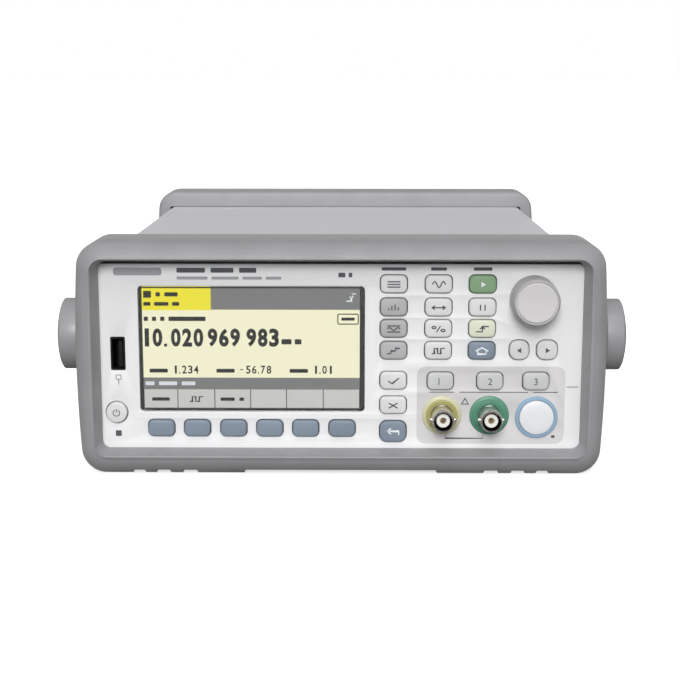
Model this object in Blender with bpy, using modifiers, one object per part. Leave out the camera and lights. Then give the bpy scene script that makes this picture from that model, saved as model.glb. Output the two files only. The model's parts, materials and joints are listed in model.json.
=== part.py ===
"""A half-rack bench frequency counter, built as its separate pieces.

Distances are in millimetres and are scaled to metres when the meshes are made. X runs to the right,
+Y to the back, Z up from the table, and the middle of the instrument is at X = 0, Y = 0.
Run with: blender --background --python part.py
"""

import math

import bmesh
import bpy
from mathutils import Matrix, Vector

MM = 0.001
GAP = 0.3  # between two pieces that touch
OVERSHOOT = 5.0  # how far a cutter passes the face that it cuts

# Overall size
DEPTH = 303.2  # knob face to the rear bumper's back
WIDTH = 261.0  # over the handle's hubs
HEIGHT = 102.0  # table to the bumpers' top
FRONT = -DEPTH / 2
BACK = DEPTH / 2
KNOB_PROUD = 2.0  # the knob and the front connectors stand out of the bumper
BUMPER_FRONT = FRONT + KNOB_PROUD

# Case: a sleeve between two bumpers
SLEEVE_HALF = 106.4
SLEEVE_LOW = 6.7
SLEEVE_HIGH = 92.7
SLEEVE_WALL = 1.0
CASE_MIDDLE = (SLEEVE_LOW + SLEEVE_HIGH) / 2
SLEEVE_HEIGHT = SLEEVE_HIGH - SLEEVE_LOW

# Bumpers
BUMPER_HALF = 113.0
BUMPER_BULGE = 2.0
BUMPER_CORNER = 10.0
FRONT_BUMPER_DEPTH = 40.0
REAR_BUMPER_DEPTH = 32.0
PANEL_RECESS = 11.3
REAR_RECESS = 20.0

# Front panel, as depths along Y
PANEL = BUMPER_FRONT + PANEL_RECESS
BEZEL_THICK = 2.5
BEZEL_BACK = PANEL + BEZEL_THICK
RIM_BACK = PANEL + 11.3
KEY_PROUD = 1.9
KEY_LENGTH = 6.0
KEY_TRAVEL = 1.3
MEMBRANE = PANEL - KEY_PROUD + KEY_LENGTH + KEY_TRAVEL + 0.2
MEMBRANE_THICK = 1.0
BOARD = MEMBRANE + MEMBRANE_THICK + 0.5
BOARD_THICK = 1.6
TRAY_WALL = RIM_BACK + 2.9
SHEET = 1.2

# Rear panel
REAR_FACE = BACK - REAR_RECESS

# Display window, on the front panel
WINDOW_WIDTH = 98.7
WINDOW_HEIGHT = 55.9
WINDOW_X = -38.85
WINDOW_Z = 54.35

# Key centres along X and up Z
SOFT_KEY_XS = [-78.9, -63.1, -47.1, -31.2, -15.4, 0.6]
COLUMN_XS = [23.0, 42.4, 61.4]
ROW_ZS = [83.4, 73.3, 63.9, 54.2]
CHANNEL_XS = [43.6, 65.2, 85.3]
KEY_CLEARANCE = 0.35

# Connectors
INPUT_XS = [44.4, 65.2]
INPUT_Z = 25.2
PLUG_X = 85.9
PLUG_Z = 24.4
KNOB_X = 83.5
KNOB_Z = 77.0
KNOB_RADIUS = 10.8
SHAFT_RADIUS = 3.0
USB_X = -97.4
USB_Z = 52.4
REAR_BNCS = {"reference_input_bnc": -28.0, "reference_output_bnc": -4.0, "trigger_bnc": 20.0}
REAR_BNC_Z = 30.0
INLET_X = -72.0
INLET_Z = 40.0
FAN_X = 68.0
FAN_Z = 50.0
FAN_SIZE = 60.0
LAN_X = -24.0
USB_DEVICE_X = 4.0
PORT_Z = 66.0

# Handle: a bail on two hubs, stowed under the case
HUB_Y = BUMPER_FRONT + 50.0
HUB_Z = 54.5
HUB_RADIUS = 16.4
HUB_INNER = 120.2
ARM_INNER = 119.6
ARM_OUTER = 126.0
BAR_THICK = 5.4
BAR_WIDTH = 16.0
BAR_Z = 0.6 + BAR_THICK / 2
HANDLE_REACH = 112.0
BAR_Y = HUB_Y + math.sqrt(HANDLE_REACH**2 - (HUB_Z - BAR_Z) ** 2)

# name: (colour, roughness, metallic)
MATERIALS = {
    "bumper_rubber": ((0.29, 0.29, 0.30), 0.6, 0.0),
    "handle_plastic": ((0.33, 0.33, 0.34), 0.5, 0.0),
    "sleeve_paint": ((0.52, 0.51, 0.56), 0.45, 0.0),
    "steel": ((0.55, 0.56, 0.57), 0.35, 1.0),
    "panel_plastic": ((0.82, 0.83, 0.84), 0.5, 0.0),
    "key_white": ((0.68, 0.68, 0.68), 0.55, 0.0),
    "key_grey": ((0.42, 0.42, 0.43), 0.55, 0.0),
    "key_blue": ((0.17, 0.24, 0.33), 0.55, 0.0),
    "key_green": ((0.14, 0.34, 0.16), 0.55, 0.0),
    "key_yellow": ((0.72, 0.71, 0.46), 0.55, 0.0),
    "window_glass": ((0.85, 0.85, 0.78), 0.08, 0.0),
    "display": ((0.10, 0.10, 0.11), 0.4, 0.0),
    "circuit_board": ((0.03, 0.17, 0.07), 0.5, 0.0),
    "nickel": ((0.62, 0.60, 0.56), 0.25, 1.0),
    "plug_white": ((0.78, 0.79, 0.80), 0.4, 0.0),
    "knob_plastic": ((0.60, 0.59, 0.59), 0.45, 0.0),
    "black_plastic": ((0.02, 0.02, 0.02), 0.5, 0.0),
}


# Scene and helpers


def clear_scene():
    for obj in list(bpy.data.objects):
        bpy.data.objects.remove(obj, do_unlink=True)


def collection(name):
    made = bpy.data.collections.new(name)
    bpy.context.scene.collection.children.link(made)
    return made


def material(name):
    if name in bpy.data.materials:
        return bpy.data.materials[name]
    colour, roughness, metallic = MATERIALS[name]
    made = bpy.data.materials.new(name)
    made.use_nodes = True
    shader = made.node_tree.nodes["Principled BSDF"]
    shader.inputs["Base Color"].default_value = (*colour, 1.0)
    shader.inputs["Roughness"].default_value = roughness
    shader.inputs["Metallic"].default_value = metallic
    made.diffuse_color = (*colour, 1.0)
    return made


def mesh_object(name, bm, place, finish):
    """The bmesh, in millimetres, as an object at place; finish is a material, or None for a cutter."""
    bmesh.ops.recalc_face_normals(bm, faces=bm.faces)
    bm.transform(Matrix.Scale(MM, 4))
    mesh = bpy.data.meshes.new(name)
    bm.to_mesh(mesh)
    bm.free()
    obj = bpy.data.objects.new(name, mesh)
    obj.location = Vector(place) * MM
    if finish is None:
        CUTTERS.objects.link(obj)
        obj.hide_render = True
        obj.display_type = "WIRE"
    else:
        PARTS.objects.link(obj)
        mesh.materials.append(material(finish))
    return obj


def along_y(edge):
    line = edge.verts[0].co - edge.verts[1].co
    return abs(line.y) > 0.9 * line.length


def add_prism(bm, centre, size, radius=0.0, segments=3):
    """A box of size (x, y, z) about centre, with its four edges along Y rounded."""
    made = bmesh.ops.create_cube(bm, size=1.0)["verts"]
    bmesh.ops.scale(bm, vec=size, verts=made)
    bmesh.ops.translate(bm, vec=centre, verts=made)
    if radius:
        edges = [edge for edge in {e for v in made for e in v.link_edges} if along_y(edge)]
        bmesh.ops.bevel(bm, geom=edges, offset=radius, segments=segments, profile=0.5, affect="EDGES")


def add_cylinder(bm, centre, radius, length, segments=24, axis="Y"):
    turn = {"Y": Matrix.Rotation(math.pi / 2, 4, "X"), "X": Matrix.Rotation(math.pi / 2, 4, "Y"), "Z": Matrix()}
    bmesh.ops.create_cone(
        bm,
        cap_ends=True,
        segments=segments,
        radius1=radius,
        radius2=radius,
        depth=length,
        matrix=Matrix.Translation(centre) @ turn[axis],
    )


def add_box(bm, low, high):
    """A box between two corners."""
    low, high = Vector(low), Vector(high)
    add_prism(bm, (low + high) / 2, high - low)


def prism(name, place, size, finish, radius=0.0, segments=3):
    bm = bmesh.new()
    add_prism(bm, (0, 0, 0), size, radius, segments)
    return mesh_object(name, bm, place, finish)


def boolean(target, tool, operation="DIFFERENCE"):
    modifier = target.modifiers.new(operation.lower(), "BOOLEAN")
    modifier.operation = operation
    modifier.solver = "EXACT"
    modifier.object = tool


def box_boolean(target, name, low, high, operation="DIFFERENCE"):
    """Cuts a box out of the target, or joins one to it."""
    bm = bmesh.new()
    add_box(bm, low, high)
    boolean(target, mesh_object(name, bm, (0, 0, 0), None), operation)


def rim_bevel(obj, width, segments, angle=40.0):
    modifier = obj.modifiers.new("rim", "BEVEL")
    modifier.width = width * MM
    modifier.segments = segments
    modifier.limit_method = "ANGLE"
    modifier.angle_limit = math.radians(angle)


def turned(name, place, profile, finish, steps=32, turn=0.0):
    """A profile of (radius, along Y) points, from axis to axis, turned about Y."""
    bm = bmesh.new()
    points = [bm.verts.new((radius, along, 0.0)) for radius, along in profile]
    for start, end in zip(points, points[1:]):
        bm.edges.new((start, end))
    obj = mesh_object(name, bm, place, finish)
    obj.rotation_euler.z = turn
    screw = obj.modifiers.new("turn", "SCREW")
    screw.axis = "Y"
    screw.steps = steps
    screw.render_steps = steps
    screw.use_merge_vertices = True
    screw.merge_threshold = 0.00001
    screw.use_normal_calculate = True
    return obj


# Bumpers


def bumper_outline():
    """The bumper's outline: round corners, and sides that swell towards mid height."""
    reach_x = BUMPER_HALF - BUMPER_CORNER
    reach_z = HEIGHT / 2 - BUMPER_CORNER
    points = []
    for corner, (side_x, side_z) in enumerate(((1, 1), (-1, 1), (-1, -1), (1, -1))):
        for step in range(7):
            angle = math.radians(90 * corner + 15 * step)
            x = side_x * reach_x + BUMPER_CORNER * math.cos(angle)
            z = side_z * reach_z + BUMPER_CORNER * math.sin(angle)
            points.append((x, z))
        if side_x != side_z:
            points += [(side_x * BUMPER_HALF, side_z * share * reach_z) for share in (0.6, 0.2, -0.2, -0.6)]
    outline = []
    for x, z in points:
        swell = BUMPER_BULGE * (1 - (2 * z / HEIGHT) ** 2) if abs(x) > reach_x else 0.0
        outline.append((x + math.copysign(swell, x), z + HEIGHT / 2))
    return outline


def bumper_block(name, front, depth, rounding):
    bm = bmesh.new()
    face = bm.faces.new([bm.verts.new((x, 0.0, z)) for x, z in bumper_outline()])
    swept = bmesh.ops.extrude_face_region(bm, geom=[face])["geom"]
    bmesh.ops.translate(bm, vec=(0, depth, 0), verts=[v for v in swept if isinstance(v, bmesh.types.BMVert)])
    for at, width in ((0.0, rounding[0]), (depth, rounding[1])):
        rim = [e for e in bm.edges if all(abs(v.co.y - at) < 1e-4 for v in e.verts)]
        bmesh.ops.bevel(bm, geom=rim, offset=width, segments=3, profile=0.5, affect="EDGES")
    return mesh_object(name, bm, (0, front, 0), "bumper_rubber")


def mouth_cutter(name, wall, face, throat, mouth):
    """A slanting opening: throat (half width, low, high) at the wall, widening to mouth at the face and on past it."""
    reach = 1 + OVERSHOOT / abs(face - wall)
    outside = wall + (face - wall) * reach
    wide = [start + (end - start) * reach for start, end in zip(throat, mouth)]
    half, low, high = throat
    bm = bmesh.new()
    centre = (0, (wall + outside) / 2, (low + high) / 2)
    add_prism(bm, centre, (2 * half, abs(outside - wall), high - low), radius=3.0)
    for vertex in bm.verts:
        if abs(vertex.co.y - outside) < 1e-4:
            share = (vertex.co.z - low) / (high - low)
            vertex.co.x *= wide[0] / half
            vertex.co.z = wide[1] + share * (wide[2] - wide[1])
    return mesh_object(name, bm, (0, 0, 0), None)


def foot_cutter(name, front, back):
    """Grooves along Y that leave feet and treads under a bumper."""
    bm = bmesh.new()
    add_box(bm, (-42, front - OVERSHOOT, -OVERSHOOT), (42, back + OVERSHOOT, 1.6))
    for near, far in ((63.0, 69.0), (75.0, 80.6), (86.0, 91.0)):
        for side in (-1, 1):
            low, high = sorted((side * near, side * far))
            add_box(bm, (low, front - OVERSHOOT, -OVERSHOOT), (high, back + OVERSHOOT, 1.5))
    return mesh_object(name, bm, (0, 0, 0), None)


def build_bumpers():
    bore_low = (-SLEEVE_HALF - GAP, SLEEVE_LOW - GAP)
    bore_high = (SLEEVE_HALF + GAP, SLEEVE_HIGH + GAP)
    back = BUMPER_FRONT + FRONT_BUMPER_DEPTH
    bumper = bumper_block("front_bumper", BUMPER_FRONT, FRONT_BUMPER_DEPTH, (4.5, 2.5))
    boolean(bumper, mouth_cutter("front_mouth", PANEL, BUMPER_FRONT, (105.0, 10.3, 92.0), (107.2, 9.3, 94.2)))
    low = (bore_low[0], PANEL - GAP, bore_low[1])
    box_boolean(bumper, "front_bore", low, (bore_high[0], back + OVERSHOOT, bore_high[1]))
    boolean(bumper, foot_cutter("front_grooves", BUMPER_FRONT, back))
    front = BACK - REAR_BUMPER_DEPTH
    bumper = bumper_block("rear_bumper", front, REAR_BUMPER_DEPTH, (2.5, 4.5))
    boolean(bumper, mouth_cutter("rear_mouth", REAR_FACE, BACK, (104.0, 10.3, 91.0), (106.0, 9.0, 93.0)))
    low = (bore_low[0], front - OVERSHOOT, bore_low[1])
    box_boolean(bumper, "rear_bore", low, (bore_high[0], REAR_FACE + GAP, bore_high[1]))
    boolean(bumper, foot_cutter("rear_grooves", front, BACK))


# Case


def build_sleeve():
    """The painted cover: a rounded tube, with louvres low on both sides."""
    front = RIM_BACK + GAP
    length = REAR_FACE - front
    middle_y = (front + REAR_FACE) / 2
    sleeve = prism(
        "outer_sleeve",
        (0, middle_y, CASE_MIDDLE),
        (2 * SLEEVE_HALF, length, SLEEVE_HEIGHT),
        "sleeve_paint",
        radius=3.0,
    )
    bm = bmesh.new()
    inner = (2 * (SLEEVE_HALF - SLEEVE_WALL), length + 10, SLEEVE_HEIGHT - 2 * SLEEVE_WALL)
    add_prism(bm, (0, middle_y, CASE_MIDDLE), inner, radius=1.0)
    boolean(sleeve, mesh_object("sleeve_inside", bm, (0, 0, 0), None))
    bm = bmesh.new()
    for slot in range(12):
        y = 8.0 * slot
        add_box(bm, (-SLEEVE_HALF - 5, y, 20), (SLEEVE_HALF + 5, y + 3.0, 38))
    boolean(sleeve, mesh_object("sleeve_louvres", bm, (0, 0, 0), None))


def build_tray():
    """The sheet-steel chassis: a floor, low sides and a front wall with the display's cable slot."""
    half = SLEEVE_HALF - SLEEVE_WALL - 0.6
    low = SLEEVE_LOW + SLEEVE_WALL + 0.5
    back = REAR_FACE - SHEET - GAP
    bm = bmesh.new()
    add_box(bm, (-half, TRAY_WALL, low), (half, back, 90.0))
    tray = mesh_object("chassis_tray", bm, (0, 0, 0), "steel")
    wall_back = TRAY_WALL + SHEET
    box_boolean(tray, "tray_inside", (-half + SHEET, wall_back, low + SHEET), (half - SHEET, back + 5, 95.0))
    box_boolean(tray, "tray_above_sides", (-half - 5, wall_back, 20.0), (half + 5, back + 5, 96.0))
    box_boolean(tray, "tray_cable_slot", (-60, TRAY_WALL - 5, 40), (-20, TRAY_WALL + 5, 60))


def rear_cutouts():
    """Openings in the rear panel: the fan's slots, and one for each connector."""
    bm = bmesh.new()
    add_box(bm, (INLET_X - 24, REAR_FACE - 20, INLET_Z - 12), (INLET_X + 24, REAR_FACE + 20, INLET_Z + 12))
    for x in REAR_BNCS.values():
        add_cylinder(bm, (x, REAR_FACE, REAR_BNC_Z), 5.2, 20)
    add_box(bm, (LAN_X - 8.5, REAR_FACE - 20, PORT_Z - 7), (LAN_X + 8.5, REAR_FACE + 20, PORT_Z + 7))
    add_box(bm, (USB_DEVICE_X - 6.5, REAR_FACE - 20, PORT_Z - 6), (USB_DEVICE_X + 6.5, REAR_FACE + 20, PORT_Z + 6))
    for row in range(-4, 5):
        z = row * 5.8
        half = math.sqrt(27.5**2 - z * z)
        for side in (-1, 1):
            centre = (FAN_X + side * (half / 2 + 0.8), REAR_FACE, FAN_Z + z)
            add_prism(bm, centre, (half - 1.6, 20, 3.4), radius=1.2, segments=2)
    return mesh_object("rear_cutouts", bm, (0, 0, 0), None)


def build_rear_panel():
    half = SLEEVE_HALF - SLEEVE_WALL - 0.4
    low = SLEEVE_LOW + SLEEVE_WALL + 0.4
    high = SLEEVE_HIGH - SLEEVE_WALL - 0.4
    panel = prism(
        "rear_panel",
        (0, REAR_FACE - SHEET / 2, (low + high) / 2),
        (2 * half, SHEET, high - low),
        "steel",
        radius=1.5,
    )
    boolean(panel, rear_cutouts())


# Front panel and keys


def key_list():
    """name, X, Z, width, height, corner radius, material of every key."""
    keys = [(f"soft_key_{n}", x, 19.2, 11.3, 7.1, 2.2, "key_blue") for n, x in enumerate(SOFT_KEY_XS, 1)]
    names = [
        ["mode_key_1", "mode_key_2", "mode_key_3", "mode_key_4"],
        ["function_key_1", "function_key_2", "function_key_3", "function_key_4"],
        ["run_key", "stop_key", "trigger_key", "local_key"],
    ]
    finishes = [
        ["key_white", "key_grey", "key_grey", "key_grey"],
        ["key_white", "key_white", "key_white", "key_white"],
        ["key_green", "key_white", "key_yellow", "key_blue"],
    ]
    for column, x in enumerate(COLUMN_XS):
        for row, z in enumerate(ROW_ZS):
            keys.append((names[column][row], x, z, 11.4, 7.5, 2.2, finishes[column][row]))
    keys.append(("enter_key", 23.0, 40.8, 11.4, 7.5, 2.2, "key_white"))
    keys.append(("cancel_key", 23.0, 29.8, 11.4, 7.5, 2.2, "key_white"))
    keys.append(("back_key", 23.0, 17.9, 11.4, 9.2, 2.9, "key_blue"))
    keys += [(f"channel_key_{n}", x, 40.6, 11.2, 7.5, 2.2, "key_white") for n, x in enumerate(CHANNEL_XS, 1)]
    keys.append(("left_arrow_key", 77.7, 54.5, 8.3, 8.3, 3.2, "key_grey"))
    keys.append(("right_arrow_key", 89.8, 54.5, 8.8, 8.3, 3.2, "key_grey"))
    keys.append(("power_key", -98.5, 26.2, 9.2, 9.2, 4.55, "key_white"))
    return keys


def build_keys():
    middle = PANEL - KEY_PROUD + KEY_LENGTH / 2
    for name, x, z, width, height, radius, finish in key_list():
        segments = 5 if radius > 4 else 3
        key = prism(name, (x, middle, z), (width, KEY_LENGTH, height), finish, radius, segments)
        rim_bevel(key, 0.6, 1)


def key_holes():
    bm = bmesh.new()
    for _, x, z, width, height, radius, _ in key_list():
        size = (width + 2 * KEY_CLEARANCE, 20, height + 2 * KEY_CLEARANCE)
        add_prism(bm, (x, PANEL, z), size, radius + KEY_CLEARANCE, 5 if radius > 4 else 3)
    return mesh_object("key_holes", bm, (0, 0, 0), None)


def add_connector_holes(bm, y, length, slack):
    """Holes for the inputs, the plug, the encoder's bushing and the USB socket."""
    for x in INPUT_XS:
        add_cylinder(bm, (x, y, INPUT_Z), 4.7 + slack, length)
    add_cylinder(bm, (PLUG_X, y, PLUG_Z), 4.7 + slack, length)
    add_cylinder(bm, (KNOB_X, y, KNOB_Z), 3.5 + slack, length)
    add_prism(bm, (USB_X, y, USB_Z), (5.7 + 2 * slack, length, 14.2 + 2 * slack))


def build_bezel():
    half = SLEEVE_HALF - 0.2
    low = SLEEVE_LOW + 0.2
    high = SLEEVE_HIGH - 0.2
    depth = RIM_BACK - PANEL
    size = (2 * half, depth, high - low)
    bezel = prism("front_bezel", (0, (PANEL + RIM_BACK) / 2, CASE_MIDDLE), size, "panel_plastic", radius=3.0)
    bm = bmesh.new()
    hollow = (2 * half - 3.0, depth, high - low - 3.0)
    add_prism(bm, (0, BEZEL_BACK + depth / 2, CASE_MIDDLE), hollow, radius=2.0)
    boolean(bezel, mesh_object("bezel_inside", bm, (0, 0, 0), None))
    boolean(bezel, key_holes())
    bm = bmesh.new()
    add_prism(bm, (WINDOW_X, PANEL, WINDOW_Z), (WINDOW_WIDTH, 20, WINDOW_HEIGHT), radius=1.8)
    add_connector_holes(bm, PANEL, 20, 0.35)
    boolean(bezel, mesh_object("bezel_openings", bm, (0, 0, 0), None))


def build_display():
    window_size = (WINDOW_WIDTH - 2 * GAP, 1.5, WINDOW_HEIGHT - 2 * GAP)
    prism("display_window", (WINDOW_X, PANEL + 1.45, WINDOW_Z), window_size, "window_glass", radius=1.6)
    module = (107.0, 6.5, 61.0)
    prism("display_module", (WINDOW_X, BEZEL_BACK + GAP + module[1] / 2, 54.6), module, "display")


def front_layer(name, front, thick, finish):
    """A sheet behind the bezel, cut away for the display module and the connectors."""
    bm = bmesh.new()
    add_box(bm, (-103.6, front, 11.5), (103.6, front + thick, 90.0))
    layer = mesh_object(name, bm, (0, 0, 0), finish)
    bm = bmesh.new()
    add_box(bm, (WINDOW_X - 54.0, front - 5, 23.6), (WINDOW_X + 54.0, front + 5, 85.6))
    add_connector_holes(bm, front, 10, 0.8)
    boolean(layer, mesh_object(name + "_holes", bm, (0, 0, 0), None))


def build_knob():
    face = FRONT - PANEL
    skirt = -0.4
    bore = SHAFT_RADIUS + 0.2
    bore_end = face + 5.0
    radius = KNOB_RADIUS
    profile = [
        (0, face),
        (radius - 2.2, face),
        (radius - 0.6, face + 0.7),
        (radius - 0.1, face + 2.2),
        (radius, skirt - 1.0),
        (radius - 0.4, skirt),
        (bore, skirt),
        (bore, bore_end),
        (0, bore_end),
    ]
    turned("knob", (KNOB_X, PANEL, KNOB_Z), profile, "knob_plastic", steps=40)
    shaft_front = bore_end + 0.6 + PANEL
    body_front = BOARD + BOARD_THICK + GAP
    bm = bmesh.new()
    add_prism(bm, (KNOB_X, body_front + 2.5, KNOB_Z), (12.6, 5, 12.6))
    encoder = mesh_object("encoder", bm, (0, 0, 0), "steel")
    bm = bmesh.new()
    add_cylinder(bm, (KNOB_X, (shaft_front + body_front + 1) / 2, KNOB_Z), SHAFT_RADIUS, body_front + 1 - shaft_front)
    boolean(encoder, mesh_object("encoder_shaft", bm, (0, 0, 0), None), "UNION")


# Connectors


def bnc(name, place, turn):
    """A panel jack at place, its mouth towards -Y before it is turned about Z."""
    mouth = -13.0
    profile = [
        (0, 9.0),
        (4.7, 9.0),
        (4.7, -GAP),
        (6.6, -GAP),
        (6.6, -1.7),
        (4.8, -1.7),
        (4.8, mouth + 0.4),
        (4.5, mouth),
        (4.05, mouth),
        (4.05, -4.6),
        (2.4, -4.6),
        (2.4, mouth + 1.6),
        (0.6, mouth + 1.6),
        (0.6, -6.0),
        (0, -6.0),
    ]
    jack = turned(name, place, profile, "nickel", steps=24, turn=turn)
    bm = bmesh.new()
    for side in (-1, 1):
        add_cylinder(bm, (side * 5.0, -9.0, 0), 0.95, 1.5, segments=8, axis="X")
    lugs = mesh_object(name + "_lugs", bm, place, None)
    lugs.rotation_euler.z = turn
    boolean(jack, lugs, "UNION")


def build_front_connectors():
    for number, x in enumerate(INPUT_XS, 1):
        bnc(f"input_bnc_{number}", (x, PANEL, INPUT_Z), 0.0)
    profile = [(0, 8.0), (4.7, 8.0), (4.7, -GAP), (7.6, -GAP), (7.6, -1.4), (7.0, -2.0), (0, -2.2)]
    turned("channel_3_plug", (PLUG_X, PANEL, PLUG_Z), profile, "plug_white", steps=28)
    length = 13.5
    bm = bmesh.new()
    add_prism(bm, (USB_X, PANEL + length / 2, USB_Z), (5.7, length, 14.2))
    port = mesh_object("usb_host_port", bm, (0, 0, 0), "steel")
    bm = bmesh.new()
    add_box(bm, (USB_X - 2.4, PANEL - 5, USB_Z - 6.6), (USB_X + 2.4, PANEL + length - 1, USB_Z + 6.6))
    boolean(port, mesh_object("usb_host_mouth", bm, (0, 0, 0), None))
    bm = bmesh.new()
    add_box(bm, (USB_X + 0.3, PANEL + 1.0, USB_Z - 5.6), (USB_X + 1.9, PANEL + length - 0.5, USB_Z + 5.6))
    boolean(port, mesh_object("usb_host_tongue", bm, (0, 0, 0), None), "UNION")


def build_inlet():
    """The mains inlet: a flange, a cavity with three blades, and a pocket for the fuse drawer."""
    face = REAR_FACE + GAP + 2.0
    back = REAR_FACE - 26.0
    bm = bmesh.new()
    add_prism(bm, (INLET_X, (REAR_FACE + GAP + face) / 2, INLET_Z), (52, 2.0, 28), radius=3.0)
    inlet = mesh_object("power_inlet", bm, (0, 0, 0), "black_plastic")
    bm = bmesh.new()
    add_box(bm, (INLET_X - 23.5, back, INLET_Z - 11.5), (INLET_X + 23.5, face - 1.0, INLET_Z + 11.5))
    boolean(inlet, mesh_object("inlet_body", bm, (0, 0, 0), None), "UNION")
    cavity_x = INLET_X - 7.5
    bm = bmesh.new()
    add_prism(bm, (cavity_x, face - 3, INLET_Z), (24.6, 34, 16.8), radius=2.5, segments=2)
    add_box(bm, (INLET_X + 10.3, face - 21.0, INLET_Z - 10.4), (INLET_X + 19.7, face + 5, INLET_Z + 10.4))
    boolean(inlet, mesh_object("inlet_hollows", bm, (0, 0, 0), None))
    bm = bmesh.new()
    for x, z in ((-7.0, -2.6), (7.0, -2.6), (0.0, 2.6)):
        add_box(bm, (cavity_x + x - 1, back + 2, INLET_Z + z - 2), (cavity_x + x + 1, face - 3, INLET_Z + z + 2))
    boolean(inlet, mesh_object("inlet_blades", bm, (0, 0, 0), None), "UNION")
    drawer = (8.8, 20.0, 20.2)
    prism("fuse_drawer", (INLET_X + 15.0, face + 0.6 - drawer[1] / 2, INLET_Z), drawer, "black_plastic", radius=0.8)


def build_rear_connectors():
    build_inlet()
    for name, x in REAR_BNCS.items():
        bnc(name, (x, REAR_FACE, REAR_BNC_Z), math.pi)
    bm = bmesh.new()
    add_prism(bm, (LAN_X, REAR_FACE - 9.0, PORT_Z), (16.2, 20.0, 13.2))
    lan = mesh_object("lan_port", bm, (0, 0, 0), "steel")
    bm = bmesh.new()
    add_prism(bm, (LAN_X, REAR_FACE - 3.5, PORT_Z), (12.0, 19.0, 8.0))
    boolean(lan, mesh_object("lan_mouth", bm, (0, 0, 0), None))
    bm = bmesh.new()
    add_prism(bm, (LAN_X, REAR_FACE - 3.5, PORT_Z - 4.6), (5.0, 19.0, 2.6))
    boolean(lan, mesh_object("lan_latch_slot", bm, (0, 0, 0), None))
    bm = bmesh.new()
    add_prism(bm, (USB_DEVICE_X, REAR_FACE - 7.0, PORT_Z), (12.0, 16.0, 11.0))
    port = mesh_object("usb_device_port", bm, (0, 0, 0), "steel")
    bm = bmesh.new()
    add_prism(bm, (USB_DEVICE_X, REAR_FACE - 3.0, PORT_Z), (8.8, 14.0, 8.0), radius=1.0, segments=1)
    boolean(port, mesh_object("usb_device_mouth", bm, (0, 0, 0), None))
    bm = bmesh.new()
    add_prism(bm, (USB_DEVICE_X, REAR_FACE - 6.0, PORT_Z), (5.6, 12.0, 3.2))
    boolean(port, mesh_object("usb_device_tongue", bm, (0, 0, 0), None), "UNION")


# Inside


def build_fan():
    """A square fan behind the rear panel; its rotor turns on a disc that four struts hold."""
    back = REAR_FACE - SHEET - GAP
    depth = 15.0
    front = back - depth
    centre = (FAN_X, (front + back) / 2, FAN_Z)
    frame = prism("fan_frame", centre, (FAN_SIZE, depth, FAN_SIZE), "black_plastic", radius=3.0)
    bm = bmesh.new()
    add_cylinder(bm, centre, 28.5, depth + 10, segments=40)
    boolean(frame, mesh_object("fan_duct", bm, (0, 0, 0), None))
    bm = bmesh.new()
    add_cylinder(bm, (FAN_X, front + 1.0, FAN_Z), 14.0, 2.0, segments=28)
    struts = mesh_object("fan_disc", bm, (0, 0, 0), None)
    boolean(frame, struts, "UNION")
    for turn in range(2):
        angle = math.pi / 4 + turn * math.pi / 2
        strut = prism("fan_strut", (FAN_X, front + 1.0, FAN_Z), (60.0, 2.0, 3.0), None)
        strut.rotation_euler.y = angle
        boolean(frame, strut, "UNION")
    hub_length = 10.5
    hub_middle = front + 3.0 + hub_length / 2
    bm = bmesh.new()
    add_cylinder(bm, (0, 0, 0), 13.5, hub_length, segments=28)
    rotor = mesh_object("fan_rotor", bm, (FAN_X, hub_middle, FAN_Z), "black_plastic")
    bm = bmesh.new()
    for blade in range(7):
        made = bmesh.ops.create_cube(bm, size=1.0)["verts"]
        bmesh.ops.scale(bm, vec=(15.5, 1.4, 11.0), verts=made)
        bmesh.ops.rotate(bm, cent=(0, 0, 0), matrix=Matrix.Rotation(math.radians(38), 3, "X"), verts=made)
        bmesh.ops.translate(bm, vec=(19.4, 0, 0), verts=made)
        turn = Matrix.Rotation(2 * math.pi * blade / 7, 3, "Y")
        bmesh.ops.rotate(bm, cent=(0, 0, 0), matrix=turn, verts=made)
    blades = mesh_object("fan_blades", bm, (FAN_X, hub_middle, FAN_Z), None)
    boolean(rotor, blades, "UNION")


def build_electronics():
    bm = bmesh.new()
    add_box(bm, (-28, -104, 14.0), (102, 70, 15.6))
    board = mesh_object("main_board", bm, (0, 0, 0), "circuit_board")
    bm = bmesh.new()
    add_box(bm, (-10, -20, 15), (18, 8, 18.5))
    add_box(bm, (34, 10, 15), (56, 32, 18))
    add_box(bm, (70, 30, 15), (96, 60, 27))
    boolean(board, mesh_object("board_chips", bm, (0, 0, 0), None), "UNION")
    bm = bmesh.new()
    add_box(bm, (-100, -20, 14.0), (-40, 96, 15.6))
    supply = mesh_object("power_supply", bm, (0, 0, 0), "circuit_board")
    bm = bmesh.new()
    add_box(bm, (-92, -4, 15), (-50, 32, 44))
    add_cylinder(bm, (-84, 60, 29), 11.0, 29.0, segments=20, axis="Z")
    add_cylinder(bm, (-56, 60, 26), 8.0, 23.0, segments=20, axis="Z")
    add_box(bm, (-98, 78, 15), (-44, 82, 40))
    boolean(supply, mesh_object("supply_parts", bm, (0, 0, 0), None), "UNION")
    bm = bmesh.new()
    add_box(bm, (32, -100, 15.9), (100, -38, 36.0))
    shield = mesh_object("input_shield", bm, (0, 0, 0), "steel")
    bm = bmesh.new()
    add_box(bm, (33, -99, 10), (65.5, -39, 35.2))
    add_box(bm, (66.3, -99, 10), (99, -39, 35.2))
    boolean(shield, mesh_object("shield_inside", bm, (0, 0, 0), None))


# Handle


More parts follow.
